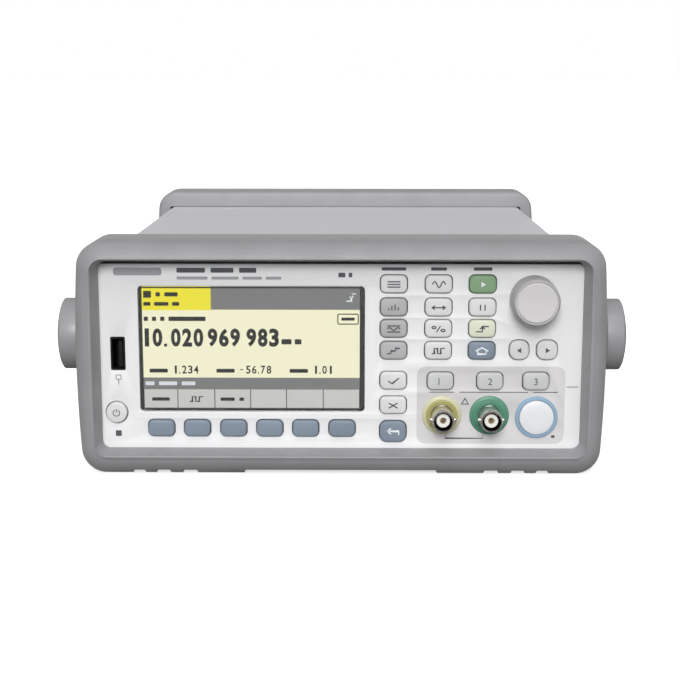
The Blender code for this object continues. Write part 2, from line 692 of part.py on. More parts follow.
def build_handle():
    """A hub and an arm at each side, and the bar that joins them under the case."""
    crown = WIDTH / 2
    bar_low = (BAR_Y - BAR_WIDTH / 2, BAR_Z - BAR_THICK / 2)
    bar_high = (BAR_Y + BAR_WIDTH / 2, BAR_Z + BAR_THICK / 2)
    profile = [
        (0, 0),
        (9.0, 0),
        (9.0, HUB_INNER - 113.3),
        (HUB_RADIUS - 0.8, HUB_INNER - 113.3),
        (HUB_RADIUS, HUB_INNER - 112.5),
        (HUB_RADIUS, crown - 113.3 - 4.2),
        (HUB_RADIUS - 0.9, crown - 113.3 - 2.9),
        (HUB_RADIUS - 5.0, crown - 113.3 - 1.1),
        (7.0, crown - 113.3 - 0.25),
        (0, crown - 113.3),
    ]
    for side, word in ((-1, "left"), (1, "right")):
        pivot = (side * 113.3, HUB_Y, HUB_Z)
        arm = turned(f"handle_{word}_arm", pivot, profile, "handle_plastic", steps=36, turn=-side * math.pi / 2)
        bm = bmesh.new()
        for x in (side * ARM_INNER, side * ARM_OUTER):
            for step in range(24):
                angle = math.radians(15 * step)
                bm.verts.new((x, HUB_Y + 8.9 * math.cos(angle), HUB_Z + 8.9 * math.sin(angle)))
            for y in (bar_low[0], bar_high[0]):
                for z in (bar_low[1], bar_high[1]):
                    bm.verts.new((x, y, z))
        hull = bmesh.ops.convex_hull(bm, input=bm.verts)
        spare = {*hull["geom_interior"], *hull["geom_unused"]}
        bmesh.ops.delete(bm, geom=list(spare), context="VERTS")
        boolean(arm, mesh_object(f"{word}_arm_blade", bm, (0, 0, 0), None), "UNION")
        boss = [(0, 0), (8.6, 0), (8.6, 6.0), (7.8, 6.6), (0, 6.6)]
        boss_place = (side * (SLEEVE_HALF + GAP / 2), HUB_Y, HUB_Z)
        turned(f"{word}_pivot_boss", boss_place, boss, "handle_plastic", 24, -side * math.pi / 2)
    grip = prism(
        "handle_grip",
        (0, BAR_Y, BAR_Z),
        (2 * (ARM_INNER - GAP), BAR_WIDTH, BAR_THICK),
        "handle_plastic",
    )
    edges = grip.modifiers.new("rounded", "BEVEL")
    edges.width = 2.0 * MM
    edges.segments = 3


clear_scene()
PARTS = collection("Frequency counter")
CUTTERS = collection("Cutters")
build_bumpers()
build_sleeve()
build_tray()
build_rear_panel()
build_bezel()
build_display()
build_keys()
front_layer("keypad_membrane", MEMBRANE, MEMBRANE_THICK, "key_white")
front_layer("front_board", BOARD, BOARD_THICK, "circuit_board")
build_knob()
build_front_connectors()
build_rear_connectors()
build_fan()
build_electronics()
build_handle()
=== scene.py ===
"""The looks of a half-rack bench frequency counter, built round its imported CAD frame.

Shapes are worked out in millimetres, in the frame's axes: X right, +Y back, Z up. They are scaled to metres
when a piece is made. Places come from the CAD nodes' boxes.
"""

import json
import math

import bmesh
import bpy
from mathutils import Matrix, Vector, geometry


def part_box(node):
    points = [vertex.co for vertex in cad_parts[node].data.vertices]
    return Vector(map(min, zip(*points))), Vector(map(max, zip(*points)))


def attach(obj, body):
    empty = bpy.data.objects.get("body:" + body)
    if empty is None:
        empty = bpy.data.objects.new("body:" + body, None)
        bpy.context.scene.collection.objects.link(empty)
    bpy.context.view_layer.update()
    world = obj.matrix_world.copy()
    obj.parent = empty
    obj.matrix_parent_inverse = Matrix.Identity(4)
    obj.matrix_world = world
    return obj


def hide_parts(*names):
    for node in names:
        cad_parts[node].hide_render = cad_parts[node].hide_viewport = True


MM = 0.001
UP = Vector((0, 0, 1))
SHARP = 32.0  # degrees: edges that turn more than this stay sharp

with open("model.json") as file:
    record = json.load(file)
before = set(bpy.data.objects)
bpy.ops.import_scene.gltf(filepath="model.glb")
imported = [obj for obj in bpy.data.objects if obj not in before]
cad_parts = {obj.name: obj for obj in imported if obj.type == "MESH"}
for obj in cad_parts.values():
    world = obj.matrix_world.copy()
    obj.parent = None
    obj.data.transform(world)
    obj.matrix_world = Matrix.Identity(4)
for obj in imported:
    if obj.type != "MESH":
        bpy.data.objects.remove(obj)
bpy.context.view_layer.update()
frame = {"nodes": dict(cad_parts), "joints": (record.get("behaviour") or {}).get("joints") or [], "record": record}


class Box:
    """A CAD node's box, in millimetres."""

    def __init__(self, node):
        self.low, self.high = (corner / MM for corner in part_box(node))
        self.centre = (self.low + self.high) / 2
        self.size = self.high - self.low


BUMPER = Box("front_bumper")
REAR_BUMPER = Box("rear_bumper")
SLEEVE = Box("outer_sleeve")
BEZEL = Box("front_bezel")
WINDOW = Box("display_window")
USB = Box("usb_host_port")
FAN = Box("fan_rotor")
REAR_JACKS = ("reference_input_bnc", "reference_output_bnc", "trigger_bnc")
HUB = Vector((0.0, *(value / MM for value in frame["joints"][0]["pos_m"][1:])))
PANEL = BEZEL.low.y  # the front panel's face
BEZEL_THICK = 2.5
TOP_GAP = 0.5  # the shadow gap between the panel's top edge and the bumper
REAR_FACE = Box("rear_panel").high.y
PRINT = 0.06  # thickness of printed legends
KEYS = [name for name in frame["nodes"] if "_key" in name]
SLOTS = {part["node"]: part["material_slot"] for part in frame["record"]["subparts"]}


# Materials

EVEN = (1.0, 1.0, 1.0)  # noise that isn't stretched
NOISE_LOW, NOISE_HIGH = 0.3, 0.7  # nearly all of a noise's values lie between these
ROW_SCALE = 700.0  # of the display's pixel rows
ROW_DIP = 0.97  # how bright the display is between two rows
UNLIT = 0.05  # how much of its colour the display has without its light
# The printed field round the channel inputs, in metres
FIELD_LOW, FIELD_HIGH = Vector((0.0334, -1.0, 0.0122)), Vector((0.0982, 1.0, 0.0470))
FIELD_CORNER = 0.004
KEY_COLOURS = {
    "white": (212, 212, 212),
    "grey": (172, 172, 173),
    "pale": (210, 210, 211),
    "dim": (194, 195, 195),
    "blue": (122, 134, 148),
    "green": (126, 158, 122),
    "yellow": (212, 214, 194),
}


def srgb(red, green, blue):
    """A linear colour from 0-255 screen values."""
    return tuple((value / 255) ** 2.2 for value in (red, green, blue))


class Surface:
    """A Principled material with helpers that add procedural detail."""

    def __init__(self, name, colour, roughness, metallic=0.0, specular=0.5):
        self.material = bpy.data.materials.new(name)
        self.material.use_nodes = True
        self.nodes = self.material.node_tree.nodes
        self.links = self.material.node_tree.links
        self.shader = self.nodes["Principled BSDF"]
        self.colour = colour
        self.roughness = roughness
        self.set("Base Color", (*colour, 1.0))
        self.set("Roughness", roughness)
        self.set("Metallic", metallic)
        self.set("Specular IOR Level", specular)
        self.place = self.nodes.new("ShaderNodeTexCoord").outputs["Object"]
        self.normal = None

    def set(self, socket, value):
        self.shader.inputs[socket].default_value = value

    def node(self, kind, inputs, **settings):
        """A new node. Each of its inputs is set to a value, or linked to a socket."""
        node = self.nodes.new("ShaderNode" + kind)
        for name, value in settings.items():
            setattr(node, name, value)
        for name, value in inputs.items():
            if isinstance(value, bpy.types.NodeSocket):
                self.links.new(value, node.inputs[name])
            else:
                node.inputs[name].default_value = value
        return node

    def noise(self, scale, detail, stretch=EVEN):
        """Noise of about `scale` lumps a metre."""
        place = self.place
        if stretch != EVEN:
            place = self.node("Mapping", {"Vector": place, "Scale": stretch}).outputs["Vector"]
        return self.node("TexNoise", {"Vector": place, "Scale": scale, "Detail": detail}).outputs["Fac"]

    def cells(self, scale):
        node = self.node("TexVoronoi", {"Vector": self.place, "Scale": scale}, feature="SMOOTH_F1")
        return node.outputs["Distance"]

    def remap(self, value, low, high):
        """Noise stretched to run from low to high."""
        ends = {"From Min": NOISE_LOW, "From Max": NOISE_HIGH, "To Min": low, "To Max": high}
        return self.node("MapRange", {"Value": value, **ends}).outputs["Result"]

    def mix(self, factor, first, second, socket="Base Color"):
        """Mixes two colours by a factor into one of the shader's sockets."""
        inputs = {"A": (*first, 1.0), "B": (*second, 1.0), "Factor": factor}
        node = self.node("Mix", inputs, data_type="RGBA")
        self.links.new(node.outputs["Result"], self.shader.inputs[socket])
        return node

    def vary_colour(self, value, amount):
        """Lightens and darkens the colour by a share."""
        dark = [c * (1 - amount) for c in self.colour]
        light = [min(1.0, c * (1 + amount)) for c in self.colour]
        self.mix(self.remap(value, 0.0, 1.0), dark, light)

    def vary_roughness(self, value, amount):
        result = self.remap(value, self.roughness - amount, self.roughness + amount)
        self.links.new(result, self.shader.inputs["Roughness"])

    def bump(self, value, distance, strength):
        """Stacks a bump of about `distance` millimetres on the ones before it."""
        inputs = {"Height": value, "Distance": distance * MM, "Strength": strength}
        if self.normal:
            inputs["Normal"] = self.normal
        self.normal = self.node("Bump", inputs).outputs["Normal"]
        self.links.new(self.normal, self.shader.inputs["Normal"])

    def shade(self, factor, colour):
        """Mixes another colour over the varied base colour."""
        base = self.shader.inputs["Base Color"].links[0].from_socket
        node = self.mix(factor, self.colour, colour)
        self.links.new(base, node.inputs["A"])


def rubber(name, colour, roughness=0.5):
    """Soft moulded rubber: a fine grain, faint mottling and a little bloom."""
    made = Surface(name, colour, roughness, specular=0.45)
    made.vary_colour(made.noise(60, 4.0), 0.05)
    made.vary_roughness(made.noise(200, 2.0), 0.06)
    made.bump(made.cells(2200), 0.05, 0.5)
    made.bump(made.noise(5000, 2.0), 0.02, 0.4)
    made.set("Sheen Weight", 0.12)
    made.set("Sheen Roughness", 0.5)
    return made.material


def plastic(name, colour, roughness, grain, specular=0.45):
    """Moulded plastic with a spark-eroded grain."""
    made = Surface(name, colour, roughness, specular=specular)
    made.vary_colour(made.noise(35, 3.0), 0.02)
    made.vary_roughness(made.noise(150, 2.0), 0.05)
    made.bump(made.noise(3200, 3.0), grain, 0.6)
    return made.material


def paint(name, colour):
    """Powder coat: orange peel and a fine speckle."""
    made = Surface(name, colour, 0.42, specular=0.45)
    made.vary_colour(made.noise(2500, 2.0), 0.035)
    made.vary_roughness(made.noise(90, 3.0), 0.05)
    made.bump(made.noise(700, 2.0), 0.05, 0.5)
    made.bump(made.noise(2600, 2.0), 0.02, 0.5)
    return made.material


def metal(name, colour, roughness, stretch=EVEN):
    """Plated or brushed metal; stretch is how many times finer its marks are along each axis."""
    made = Surface(name, colour, roughness, metallic=1.0)
    marks = made.noise(400, 4.0, stretch)
    made.vary_roughness(marks, 0.08)
    made.vary_colour(made.noise(120, 2.0), 0.05)
    made.bump(marks, 0.008, 0.3)
    return made.material


def printed(name, colour):
    """Screen-printed ink."""
    made = Surface(name, colour, 0.55, specular=0.3)
    made.vary_colour(made.noise(1500, 2.0), 0.04)
    return made.material


def lit(name, colour, strength):
    """A lit patch of the display: faint pixel rows over an even glow."""
    made = Surface(name, [c * UNLIT for c in colour], 0.5, specular=0.2)
    rows = made.node("TexWave", {"Vector": made.place, "Scale": ROW_SCALE}, bands_direction="Z")
    made.mix(rows.outputs["Fac"], [c * ROW_DIP for c in colour], colour, "Emission Color")
    made.set("Emission Strength", strength)
    return made.material


def glass(name):
    made = Surface(name, (0.97, 0.98, 0.97), 0.03)
    made.set("Transmission Weight", 1.0)
    made.set("IOR", 1.46)
    made.vary_roughness(made.noise(30, 2.0), 0.01)
    return made.material


def board(name, colour):
    """Solder mask with tracks and pads showing through."""
    made = Surface(name, colour, 0.35)
    made.vary_colour(made.cells(380), 0.25)
    made.bump(made.cells(380), 0.05, 0.4)
    return made.material


def panel_material():
    """The front moulding: off-white, with a grey printed field round the channel inputs."""
    made = Surface("panel_plastic", srgb(227, 227, 228), 0.5, specular=0.4)
    made.vary_colour(made.noise(40, 3.0), 0.015)
    made.vary_roughness(made.noise(150, 2.0), 0.04)
    made.bump(made.noise(2800, 3.0), 0.02, 0.5)
    middle, half = (FIELD_LOW + FIELD_HIGH) / 2, (FIELD_HIGH - FIELD_LOW) / 2
    steps = (
        ("SUBTRACT", middle),
        ("ABSOLUTE", None),
        ("SUBTRACT", half - Vector((FIELD_CORNER,) * 3)),
        ("MAXIMUM", Vector((0, 0, 0))),
        ("LENGTH", None),
    )
    value = made.place
    for operation, other in steps:
        inputs = {0: value} if other is None else {0: value, 1: other}
        node = made.node("VectorMath", inputs, operation=operation)
        value = node.outputs["Value" if operation == "LENGTH" else "Vector"]
    inside = made.node("Math", {0: value, 1: FIELD_CORNER}, operation="LESS_THAN")
    made.shade(inside.outputs["Value"], srgb(204, 202, 203))
    return made.material


def build_materials():
    keys = {f"key_{word}": rubber(f"key_{word}", srgb(*colour)) for word, colour in KEY_COLOURS.items()}
    finishes = {
        "bumper": rubber("bumper_rubber", srgb(144, 144, 146)),
        "handle": plastic("handle_plastic", srgb(146, 146, 148), 0.36, 0.03, 0.6),
        "sleeve": paint("sleeve_paint", srgb(213, 212, 217)),
        "panel": panel_material(),
        # Painted shade: the membrane is darkened so the gaps round the keys show as dark outlines.
        "membrane": rubber("membrane_rubber", srgb(96, 97, 99), 0.7),
        # The knob plastic also paints the highlight ring behind the handle hubs' discs.
        "knob": plastic("knob_plastic", srgb(200, 198, 198), 0.42, 0.02),
        # A darker copy of the knob plastic, painted on the knob's side as shade.
        "knob_painted_shade": plastic("knob_painted_shade", srgb(176, 174, 174), 0.45, 0.02),
        "black": plastic("black_plastic", srgb(32, 32, 33), 0.4, 0.03),
        "plug": plastic("plug_white", srgb(224, 225, 228), 0.35, 0.01),
        # Lit and shaded copies of one yellow for the first input: the olive copy is painted shade.
        "pale_yellow_lit_copy": plastic("pale_ring_lit_copy", srgb(196, 194, 162), 0.4, 0.01),
        "yellow": plastic("olive_ring_shaded_copy", srgb(166, 162, 104), 0.4, 0.01),
        "green": plastic("ring_green", srgb(84, 136, 114), 0.4, 0.01),
        "blue": plastic("ring_blue", srgb(140, 168, 192), 0.4, 0.01),
        "insulator": plastic("insulator", srgb(236, 234, 226), 0.35, 0.0),
        "nickel": metal("nickel", (0.62, 0.60, 0.56), 0.24),
        "gold": metal("gold_contact", (0.83, 0.62, 0.28), 0.2),
        "steel": metal("zinc_steel", (0.60, 0.61, 0.62), 0.36, (1.0, 1.0, 14.0)),
        "ink": printed("ink_dark", srgb(82, 84, 88)),
        "ink_light": printed("ink_light", srgb(226, 230, 234)),
        "ink_grey": printed("ink_grey", srgb(150, 152, 156)),
        # Near-black port metal; the bayonet jacks' bores are also painted with it as shade.
        "port": metal("port_black_and_bore_shade", (0.03, 0.03, 0.032), 0.4),
        "board": board("circuit_board", (0.02, 0.16, 0.06)),
        "glass": glass("window_glass"),
        "screen_black": printed("screen_black", srgb(10, 10, 11)),
        "screen_pale": lit("screen_pale", srgb(246, 242, 208), 0.95),
        "screen_yellow": lit("screen_yellow", srgb(246, 232, 30), 0.9),
        "screen_bar": lit("screen_bar", srgb(120, 120, 120), 0.9),
        "screen_tab": lit("screen_tab", srgb(203, 202, 199), 0.9),
        "screen_ink": lit("screen_ink", srgb(8, 8, 7), 0.8),
    }
    return keys | finishes


# Mesh helpers

ROUND_STEPS = 72
CORNERS = ((1, 1), (-1, 1), (-1, -1), (1, -1))


def corner_arc(quarter, reach_x, reach_z, radius, steps):
    """One round corner of a rectangle. Its centre is reach_x and reach_z away from the middle."""
    side_x, side_z = CORNERS[quarter]
    points = []
    for step in range(steps + 1):
        angle = math.pi / 2 * (quarter + step / steps)
        x = side_x * reach_x + radius * math.cos(angle)
        z = side_z * reach_z + radius * math.sin(angle)
        points.append((x, z))
    return points


def rounded(width, height, radius, steps=6):
    """Points round a rectangle with round corners, about (0, 0), from its right side upwards."""
    points = []
    for quarter in range(len(CORNERS)):
        points += corner_arc(quarter, width / 2 - radius, height / 2 - radius, radius, steps)
    return points


def circle(radius, steps):
    turns = [2 * math.pi * step / steps for step in range(steps)]
    return [(radius * math.cos(turn), radius * math.sin(turn)) for turn in turns]


def moved(outline, x, z):
    return [(x + px, z + pz) for px, pz in outline]


def scaled(outline, wide, tall):
    return [(px * wide, pz * tall) for px, pz in outline]


def ring_at(outline, x, y, z):
    """An outline of (x, z) points as a ring of (x, y, z) points, shifted by x and z."""
    return [(px, y, pz) for px, pz in moved(outline, x, z)]


def loft(bm, rings, material=0, hollow=False):
    """Skins rings with as many points each. A hollow skin joins its last ring to its first."""
    layers = [[bm.verts.new(point) for point in ring] for ring in rings]
    count = len(layers[0])
    followers = layers[1:] + layers[:1] if hollow else layers[1:]
    for near, far in zip(layers, followers):
        for n in range(count):
            m = (n + 1) % count
            bm.faces.new((near[n], near[m], far[m], far[n])).material_index = material
    if not hollow:
        for layer in (layers[0], layers[-1]):
            bm.faces.new(layer).material_index = material


def tube(bm, outer, inner, x, z, front, back):
    """A tube along Y between two outlines of (x, z) points about (x, z)."""
    corners = (inner, front), (outer, front), (outer, back), (inner, back)
    loft(bm, [ring_at(outline, x, y, z) for outline, y in corners], hollow=True)


def slab(bm, outline, x, z, front, back, material=0, edge=0.0):
    """A plate from its front face to its back, with a bevelled front edge."""
    reach = max(abs(px) for px, _ in outline)
    shrink = 1 - edge / reach
    rings = [ring_at(scaled(outline, shrink, shrink), x, front, z)]
    if edge:
        rings.append(ring_at(outline, x, front + edge, z))
    rings.append(ring_at(outline, x, back, z))
    loft(bm, rings, material)


def slab_back(bm, outline, x, z, face, root):
    """A plate that faces +Y."""
    loft(bm, [ring_at(outline, x, y, z) for y in (root, face)])


def turn_profile(bm, profile, place, out=(0, -1, 0), steps=ROUND_STEPS, material=0, ripple=None):
    """Turns (radius, reach) points about the line from place along out. A profile ends there, or closes."""
    out, place = Vector(out), Vector(place)
    across = UP.cross(out)
    rings = []
    for radius, reach in profile:
        if (radius, reach) == profile[0] and rings:
            rings.append(rings[0])
            continue
        ring = []
        for step in range(steps if radius else 1):
            angle = 2 * math.pi * step / steps
            wide = radius + (ripple(reach, angle) if ripple else 0.0)
            spoke = across * math.cos(angle) + UP * math.sin(angle)
            ring.append(bm.verts.new(place + out * reach + spoke * wide))
        rings.append(ring)
    for near, far in zip(rings, rings[1:]):
        for n in range(steps):
            m = (n + 1) % steps
            corners = (near[n % len(near)], near[m % len(near)], far[m % len(far)], far[n % len(far)])
            bm.faces.new(list(dict.fromkeys(corners))).material_index = material


def ribbon(bm, points, width, front, material=0, closed=False):
    """A printed stroke along (x, z) points."""
    flat = [Vector(point) for point in points]
    rings = []
    for n, point in enumerate(flat):
        before = flat[n - 1] if closed or n else point
        after = flat[(n + 1) % len(flat)] if closed or n + 1 < len(flat) else point
        along = (after - before).normalized()
        arrive = (point - before).normalized() if point != before else along
        spread = Vector((-along.y, along.x)) * (width / 2 / max(0.5, abs(along.dot(arrive))))
        left, right = point + spread, point - spread
        rings.append([(left.x, front, left.y), (right.x, front, right.y)])
        rings[-1] += [(right.x, front + PRINT, right.y), (left.x, front + PRINT, left.y)]
    loft(bm, rings, material, hollow=closed)


def block(bm, low, high, material, edge=0.0):
    """A box between two corners. It may have its edges bevelled."""
    made = bmesh.ops.create_cube(bm, size=1.0)["verts"]
    low, high = Vector(low), Vector(high)
    bmesh.ops.scale(bm, vec=high - low, verts=made)
    bmesh.ops.translate(bm, vec=(low + high) / 2, verts=made)
    faces = {face for vertex in made for face in vertex.link_faces}
    for face in faces:
        face.material_index = material
    if edge:
        edges = list({e for vertex in made for e in vertex.link_edges})
        rounding = dict(segments=2, profile=0.5, affect="EDGES", material=material)
        bmesh.ops.bevel(bm, geom=edges, offset=edge, **rounding)


def solid_curve(curve):
    """A curve's filled and extruded shape as a bmesh. The curve is used up."""
    holder = bpy.data.objects.new(curve.name, curve)
    bpy.context.scene.collection.objects.link(holder)
    bm = bmesh.new()
    bm.from_mesh(holder.evaluated_get(bpy.context.evaluated_depsgraph_get()).to_mesh())
    bpy.data.objects.remove(holder)
    bpy.data.curves.remove(curve)
    bmesh.ops.remove_doubles(bm, verts=bm.verts, dist=1e-4)
    return bm


def join(bm, other):
    """Adds another bmesh to this one, and frees the other."""
    mesh = bpy.data.meshes.new("joined")
    other.to_mesh(mesh)
    other.free()
    bm.from_mesh(mesh)
    bpy.data.meshes.remove(mesh)


def add_digit(bm, digit, left, middle, height, front, material=0, right=None, thick=PRINT, bold=0.0):
    """A solid digit facing -Y, from left, or stretched to fill the width up to right."""
    curve = bpy.data.curves.new("digit", "FONT")
    curve.body = digit
    curve.extrude = 0.5
    curve.offset = bold
    curve.resolution_u = 4
    drawn = solid_curve(curve)
    low_x, high_x = (pick(vertex.co.x for vertex in drawn.verts) for pick in (min, max))
    low_z, high_z = (pick(vertex.co.y for vertex in drawn.verts) for pick in (min, max))
    rise = height / (high_z - low_z)
    widen = (right - left) / (high_x - low_x) if right is not None else rise
    low = middle - height / 2
    for vertex in drawn.verts:
        x, z, y = vertex.co
        vertex.co = (left + (x - low_x) * widen, front + (0.5 - y) * thick, low + (z - low_z) * rise)
    for face in drawn.faces:
        face.material_index = material
    join(bm, drawn)


DIGIT_HEIGHT = 3.0  # of the digits on keys and beside connectors
DIGIT_LEFT = -0.9  # where such a digit starts, from its middle
# Shares of a digit's height or width
POINT_SIDE = 0.16
POINT_PITCH = 0.5
MINUS_LENGTH = 0.7
ONE_LEFT = 0.35
ONE_WIDTH = 0.45
MINUS_HALF = 0.2  # half the thickness of a minus sign, in millimetres


def number(bm, digits, left, pitch, width, middle, height, front, material, bold):
    """Digits in cells of one width. A point or a minus sign is a small block."""
    low = middle - height / 2
    side = POINT_SIDE * height
    for digit in digits:
        if digit == ".":
            block(bm, (left, front, low), (left + side, front + PRINT, low + side), material)
            left += POINT_PITCH * pitch
            continue
        if digit == "-":
            end = (left + width * MINUS_LENGTH, front + PRINT, middle + MINUS_HALF)
            block(bm, (left, front, middle - MINUS_HALF), end, material)
        else:
            narrow = digit == "1"
            start = left + width * ONE_LEFT if narrow else left
            right = start + width * (ONE_WIDTH if narrow else 1.0)
            add_digit(bm, digit, start, middle, height, front, material, right=right, bold=bold)
        left += pitch


def smooth(mesh, sharp):
    mesh.polygons.foreach_set("use_smooth", [True] * len(mesh.polygons))
    mesh.set_sharp_from_angle(angle=math.radians(sharp))


def as_object(name, bm):
    """The bmesh, in millimetres, as an object in metres."""
    bmesh.ops.recalc_face_normals(bm, faces=bm.faces)
    bm.transform(Matrix.Scale(MM, 4))
    mesh = bpy.data.meshes.new(name)
    bm.to_mesh(mesh)
    bm.free()
    obj = bpy.data.objects.new(name, mesh)
    bpy.context.scene.collection.objects.link(obj)
    return obj


def piece(name, bm, finishes, body="instrument", node=None, sharp=SHARP):
    """A piece that rides on a body. If it replaces a node, the node is hidden."""
    obj = as_object(name, bm)
    for finish in finishes:
        obj.data.materials.append(MATERIALS[finish])
    smooth(obj.data, sharp)
    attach(obj, body)
    if node:
        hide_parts(node)
    return obj


def cut(obj, bm, operation="DIFFERENCE"):
    """Cuts a bmesh, in millimetres, out of a piece for good, or joins it to the piece."""
    tool = as_object("tool", bm)
    modifier = obj.modifiers.new("cut", "BOOLEAN")
    modifier.operation = operation
    modifier.solver = "MANIFOLD"
    modifier.object = tool
    evaluated = obj.evaluated_get(bpy.context.evaluated_depsgraph_get())
    result = bpy.data.meshes.new_from_object(evaluated)
    obj.modifiers.remove(modifier)
    old, tool_mesh = obj.data, tool.data
    obj.data = result
    result.name = old.name
    bpy.data.objects.remove(tool)
    for mesh in (old, tool_mesh):
        bpy.data.meshes.remove(mesh)
    smooth(result, SHARP)


MATERIALS = build_materials()


# Bumpers

# Recesses of the underside, mirrored left and right: where each starts and ends along X, and its height
RECESSES = ((0.0, 42.0, 1.6), (63.0, 69.0, 1.5), (75.0, 80.6, 1.5), (86.0, 91.0, 1.5))
RECESS_SLOPE = 0.35
BUMPER_HALF = 113.0
BUMPER_CORNER = 10.0
BUMPER_BULGE = 2.0
BUMPER_TOP = BUMPER.high.z
BUMPER_STEPS = 10  # round each corner
SIDE_SHARES = (0.9, 0.7, 0.45, 0.15, -0.15, -0.45, -0.7, -0.9)
# The crowned face: where it starts, its depth, how far it closes in and the power of its curve
FACE_START, FACE_DEPTH, FACE_INSET, FACE_POWER = 0.5, 6.8, 5.8, 1.4
FACE_SHARES = (0.0, 0.1, 0.22, 0.36, 0.5, 0.64, 0.78, 0.9, 1.0)
# How much more the outside closes in at the bottom and the top than at the sides, and how its corners tighten
BOTTOM_SLANT, TOP_SLANT, CORNER_SLANT = 0.35, 0.1, 0.6
BACK_EDGE = 2.4
# The lip between the face and the mouth: the share of the way, and how deep it is there
LIP = ((0.25, 0.15), (0.5, 0.0), (0.75, 0.05), (0.9, 0.25), (0.98, 0.7), (1.0, 1.3))
BORE_GAP = 0.3
BORE_CORNER = 1.2
# Half the width, the bottom, the top and the corners of each bumper's mouth, and of the throat behind it
FRONT_MOUTH, FRONT_THROAT = (106.8, 9.3, 95.0, 4.5), (105.0, 10.3, 93.2, 3.6)
REAR_MOUTH, REAR_THROAT = (106.0, 9.0, 93.0, 4.5), (104.0, 10.3, 91.0, 3.6)


def recess_stations():
    """(X, lift) pairs along the underside, from left to right."""
    right = []
    for near, far, lift in RECESSES:
        if near:
            right += [(near - RECESS_SLOPE, 0.0), (near + RECESS_SLOPE, lift)]
        right += [(far - RECESS_SLOPE, lift), (far + RECESS_SLOPE, 0.0)]
    return [(-x, lift) for x, lift in reversed(right)] + right


def bumper_ring(y, half, low, high, radius, inset=0.0, bulge=0.0, lifts=False):
    """One ring round a bumper. Every ring has as many points, so that any two can be skinned."""
    half, low, high = half - inset, low + inset, high - inset
    middle = (low + high) / 2
    reach_x, reach_z = half - radius, (high - low) / 2 - radius
    ring = []
    for quarter, (side_x, side_z) in enumerate(CORNERS):
        ring += corner_arc(quarter, reach_x, reach_z, radius, BUMPER_STEPS)
        if side_x != side_z:
            ring += [(side_x * half, side_z * share * reach_z) for share in SIDE_SHARES]
        elif side_z > 0:
            ring += [(share * reach_x, reach_z + radius) for share in SIDE_SHARES]
        else:
            for x, lift in recess_stations():
                rise = max(0.0, lift - inset) if lifts else 0.0
                ring.append((x * reach_x / (BUMPER_HALF - BUMPER_CORNER), -reach_z - radius + rise))
    points = []
    for x, z in ring:
        share = min(1.0, max(0.0, (abs(x) - reach_x) / radius))
        swell = bulge * share * (1 - (z / (reach_z + radius)) ** 2)
        points.append((x + math.copysign(swell, x), y, z + middle))
    return points


def between(first, second, share, y):
    """A ring at y, part of the way from one ring to another."""
    return [(a[0] + (b[0] - a[0]) * share, y, a[2] + (b[2] - a[2]) * share) for a, b in zip(first, second)]


def build_bumper(node, face, inward, recess, mouth, throat):
    """A rubber frame: a rounded outside, a crowned face, a slanting lip and the bore for the sleeve."""
    depth = Box(node).size.y

    def outside(along, inset):
        return bumper_ring(
            face + inward * along,
            half=BUMPER_HALF,
            low=BOTTOM_SLANT * inset,
            high=BUMPER_TOP - TOP_SLANT * inset,
            radius=BUMPER_CORNER - CORNER_SLANT * inset,
            inset=inset,
            bulge=BUMPER_BULGE,
            lifts=True,
        )

    def inside(along, half, low, high, radius):
        return bumper_ring(face + inward * along, half, low, high, radius)

    bore = (SLEEVE.high.x + BORE_GAP, SLEEVE.low.z - BORE_GAP, SLEEVE.high.z + BORE_GAP, BORE_CORNER)
    rings = [inside(depth, *bore), outside(depth, BACK_EDGE)]
    for turn in (0.5, 1.0, math.pi / 2):
        along = depth - BACK_EDGE * (1 - math.cos(turn))
        rings.append(outside(along, BACK_EDGE * (1 - math.sin(turn))))
    for share in FACE_SHARES:
        along = FACE_START + FACE_DEPTH * (1 - share) ** FACE_POWER
        rings.append(outside(along, FACE_INSET * share**FACE_POWER))
    shoulder = outside(FACE_START, FACE_INSET)
    lip = inside(0.0, *mouth)
    for share, along in LIP:
        rings.append(between(shoulder, lip, share, face + inward * along))
    rings.append(between(lip, inside(0.0, *throat), 0.9, face + inward * (recess - 1.4)))
    rings.append(inside(recess - 0.5, *throat))
    rings.append(inside(recess - 0.3, *bore))
    bm = bmesh.new()
    loft(bm, rings, hollow=True)
    piece(node + "_skin", bm, ["bumper"], node=node, sharp=40.0)


def build_bumpers():
    front, rear = BUMPER.low.y, REAR_BUMPER.high.y
    build_bumper("front_bumper", front, 1, PANEL - front, FRONT_MOUTH, FRONT_THROAT)
    build_bumper("rear_bumper", rear, -1, rear - REAR_FACE, REAR_MOUTH, REAR_THROAT)


# Case

COVER_THICK = 1.0
LOUVRES = 12  # on each side
LOUVRE_FIRST = 1.5  # along Y
LOUVRE_PITCH = 8.0
LOUVRE_HEIGHT = 29.0
LOUVRE_REACH = (100.0, 112.0)  # the cutter, from inside the cover to outside


def build_sleeve():
    """The painted cover, a folded tube with louvres low on both sides."""
    width, height = SLEEVE.size.x, SLEEVE.size.z
    outer = rounded(width, height, 3.0, 8)
    inner = rounded(width - 2 * COVER_THICK, height - 2 * COVER_THICK, 2.0, 8)
    bm = bmesh.new()
    tube(bm, outer, inner, 0, SLEEVE.centre.z, SLEEVE.low.y, SLEEVE.high.y)
    sleeve = piece("sleeve_cover", bm, ["sleeve"], node="outer_sleeve")
    slots = bmesh.new()
    for n in range(LOUVRES):
        outline = moved(rounded(3.0, 18.0, 1.4, 5), LOUVRE_FIRST + LOUVRE_PITCH * n, LOUVRE_HEIGHT)
        for side in (-1, 1):
            loft(slots, [[(side * x, y, z) for y, z in outline] for x in LOUVRE_REACH])
    cut(sleeve, slots)


# Front panel

KEY_CORNER = 2.2  # radius, of all keys but these and the power key
ROUNDER_KEYS = {"back_key": 3.12, "left_arrow_key": 3.2, "right_arrow_key": 3.2}
KEY_GAP = 0.42
PLATE_CORNER = 3.0
PLATE_CHAMFER = 0.22
RIM_THICK = 1.5


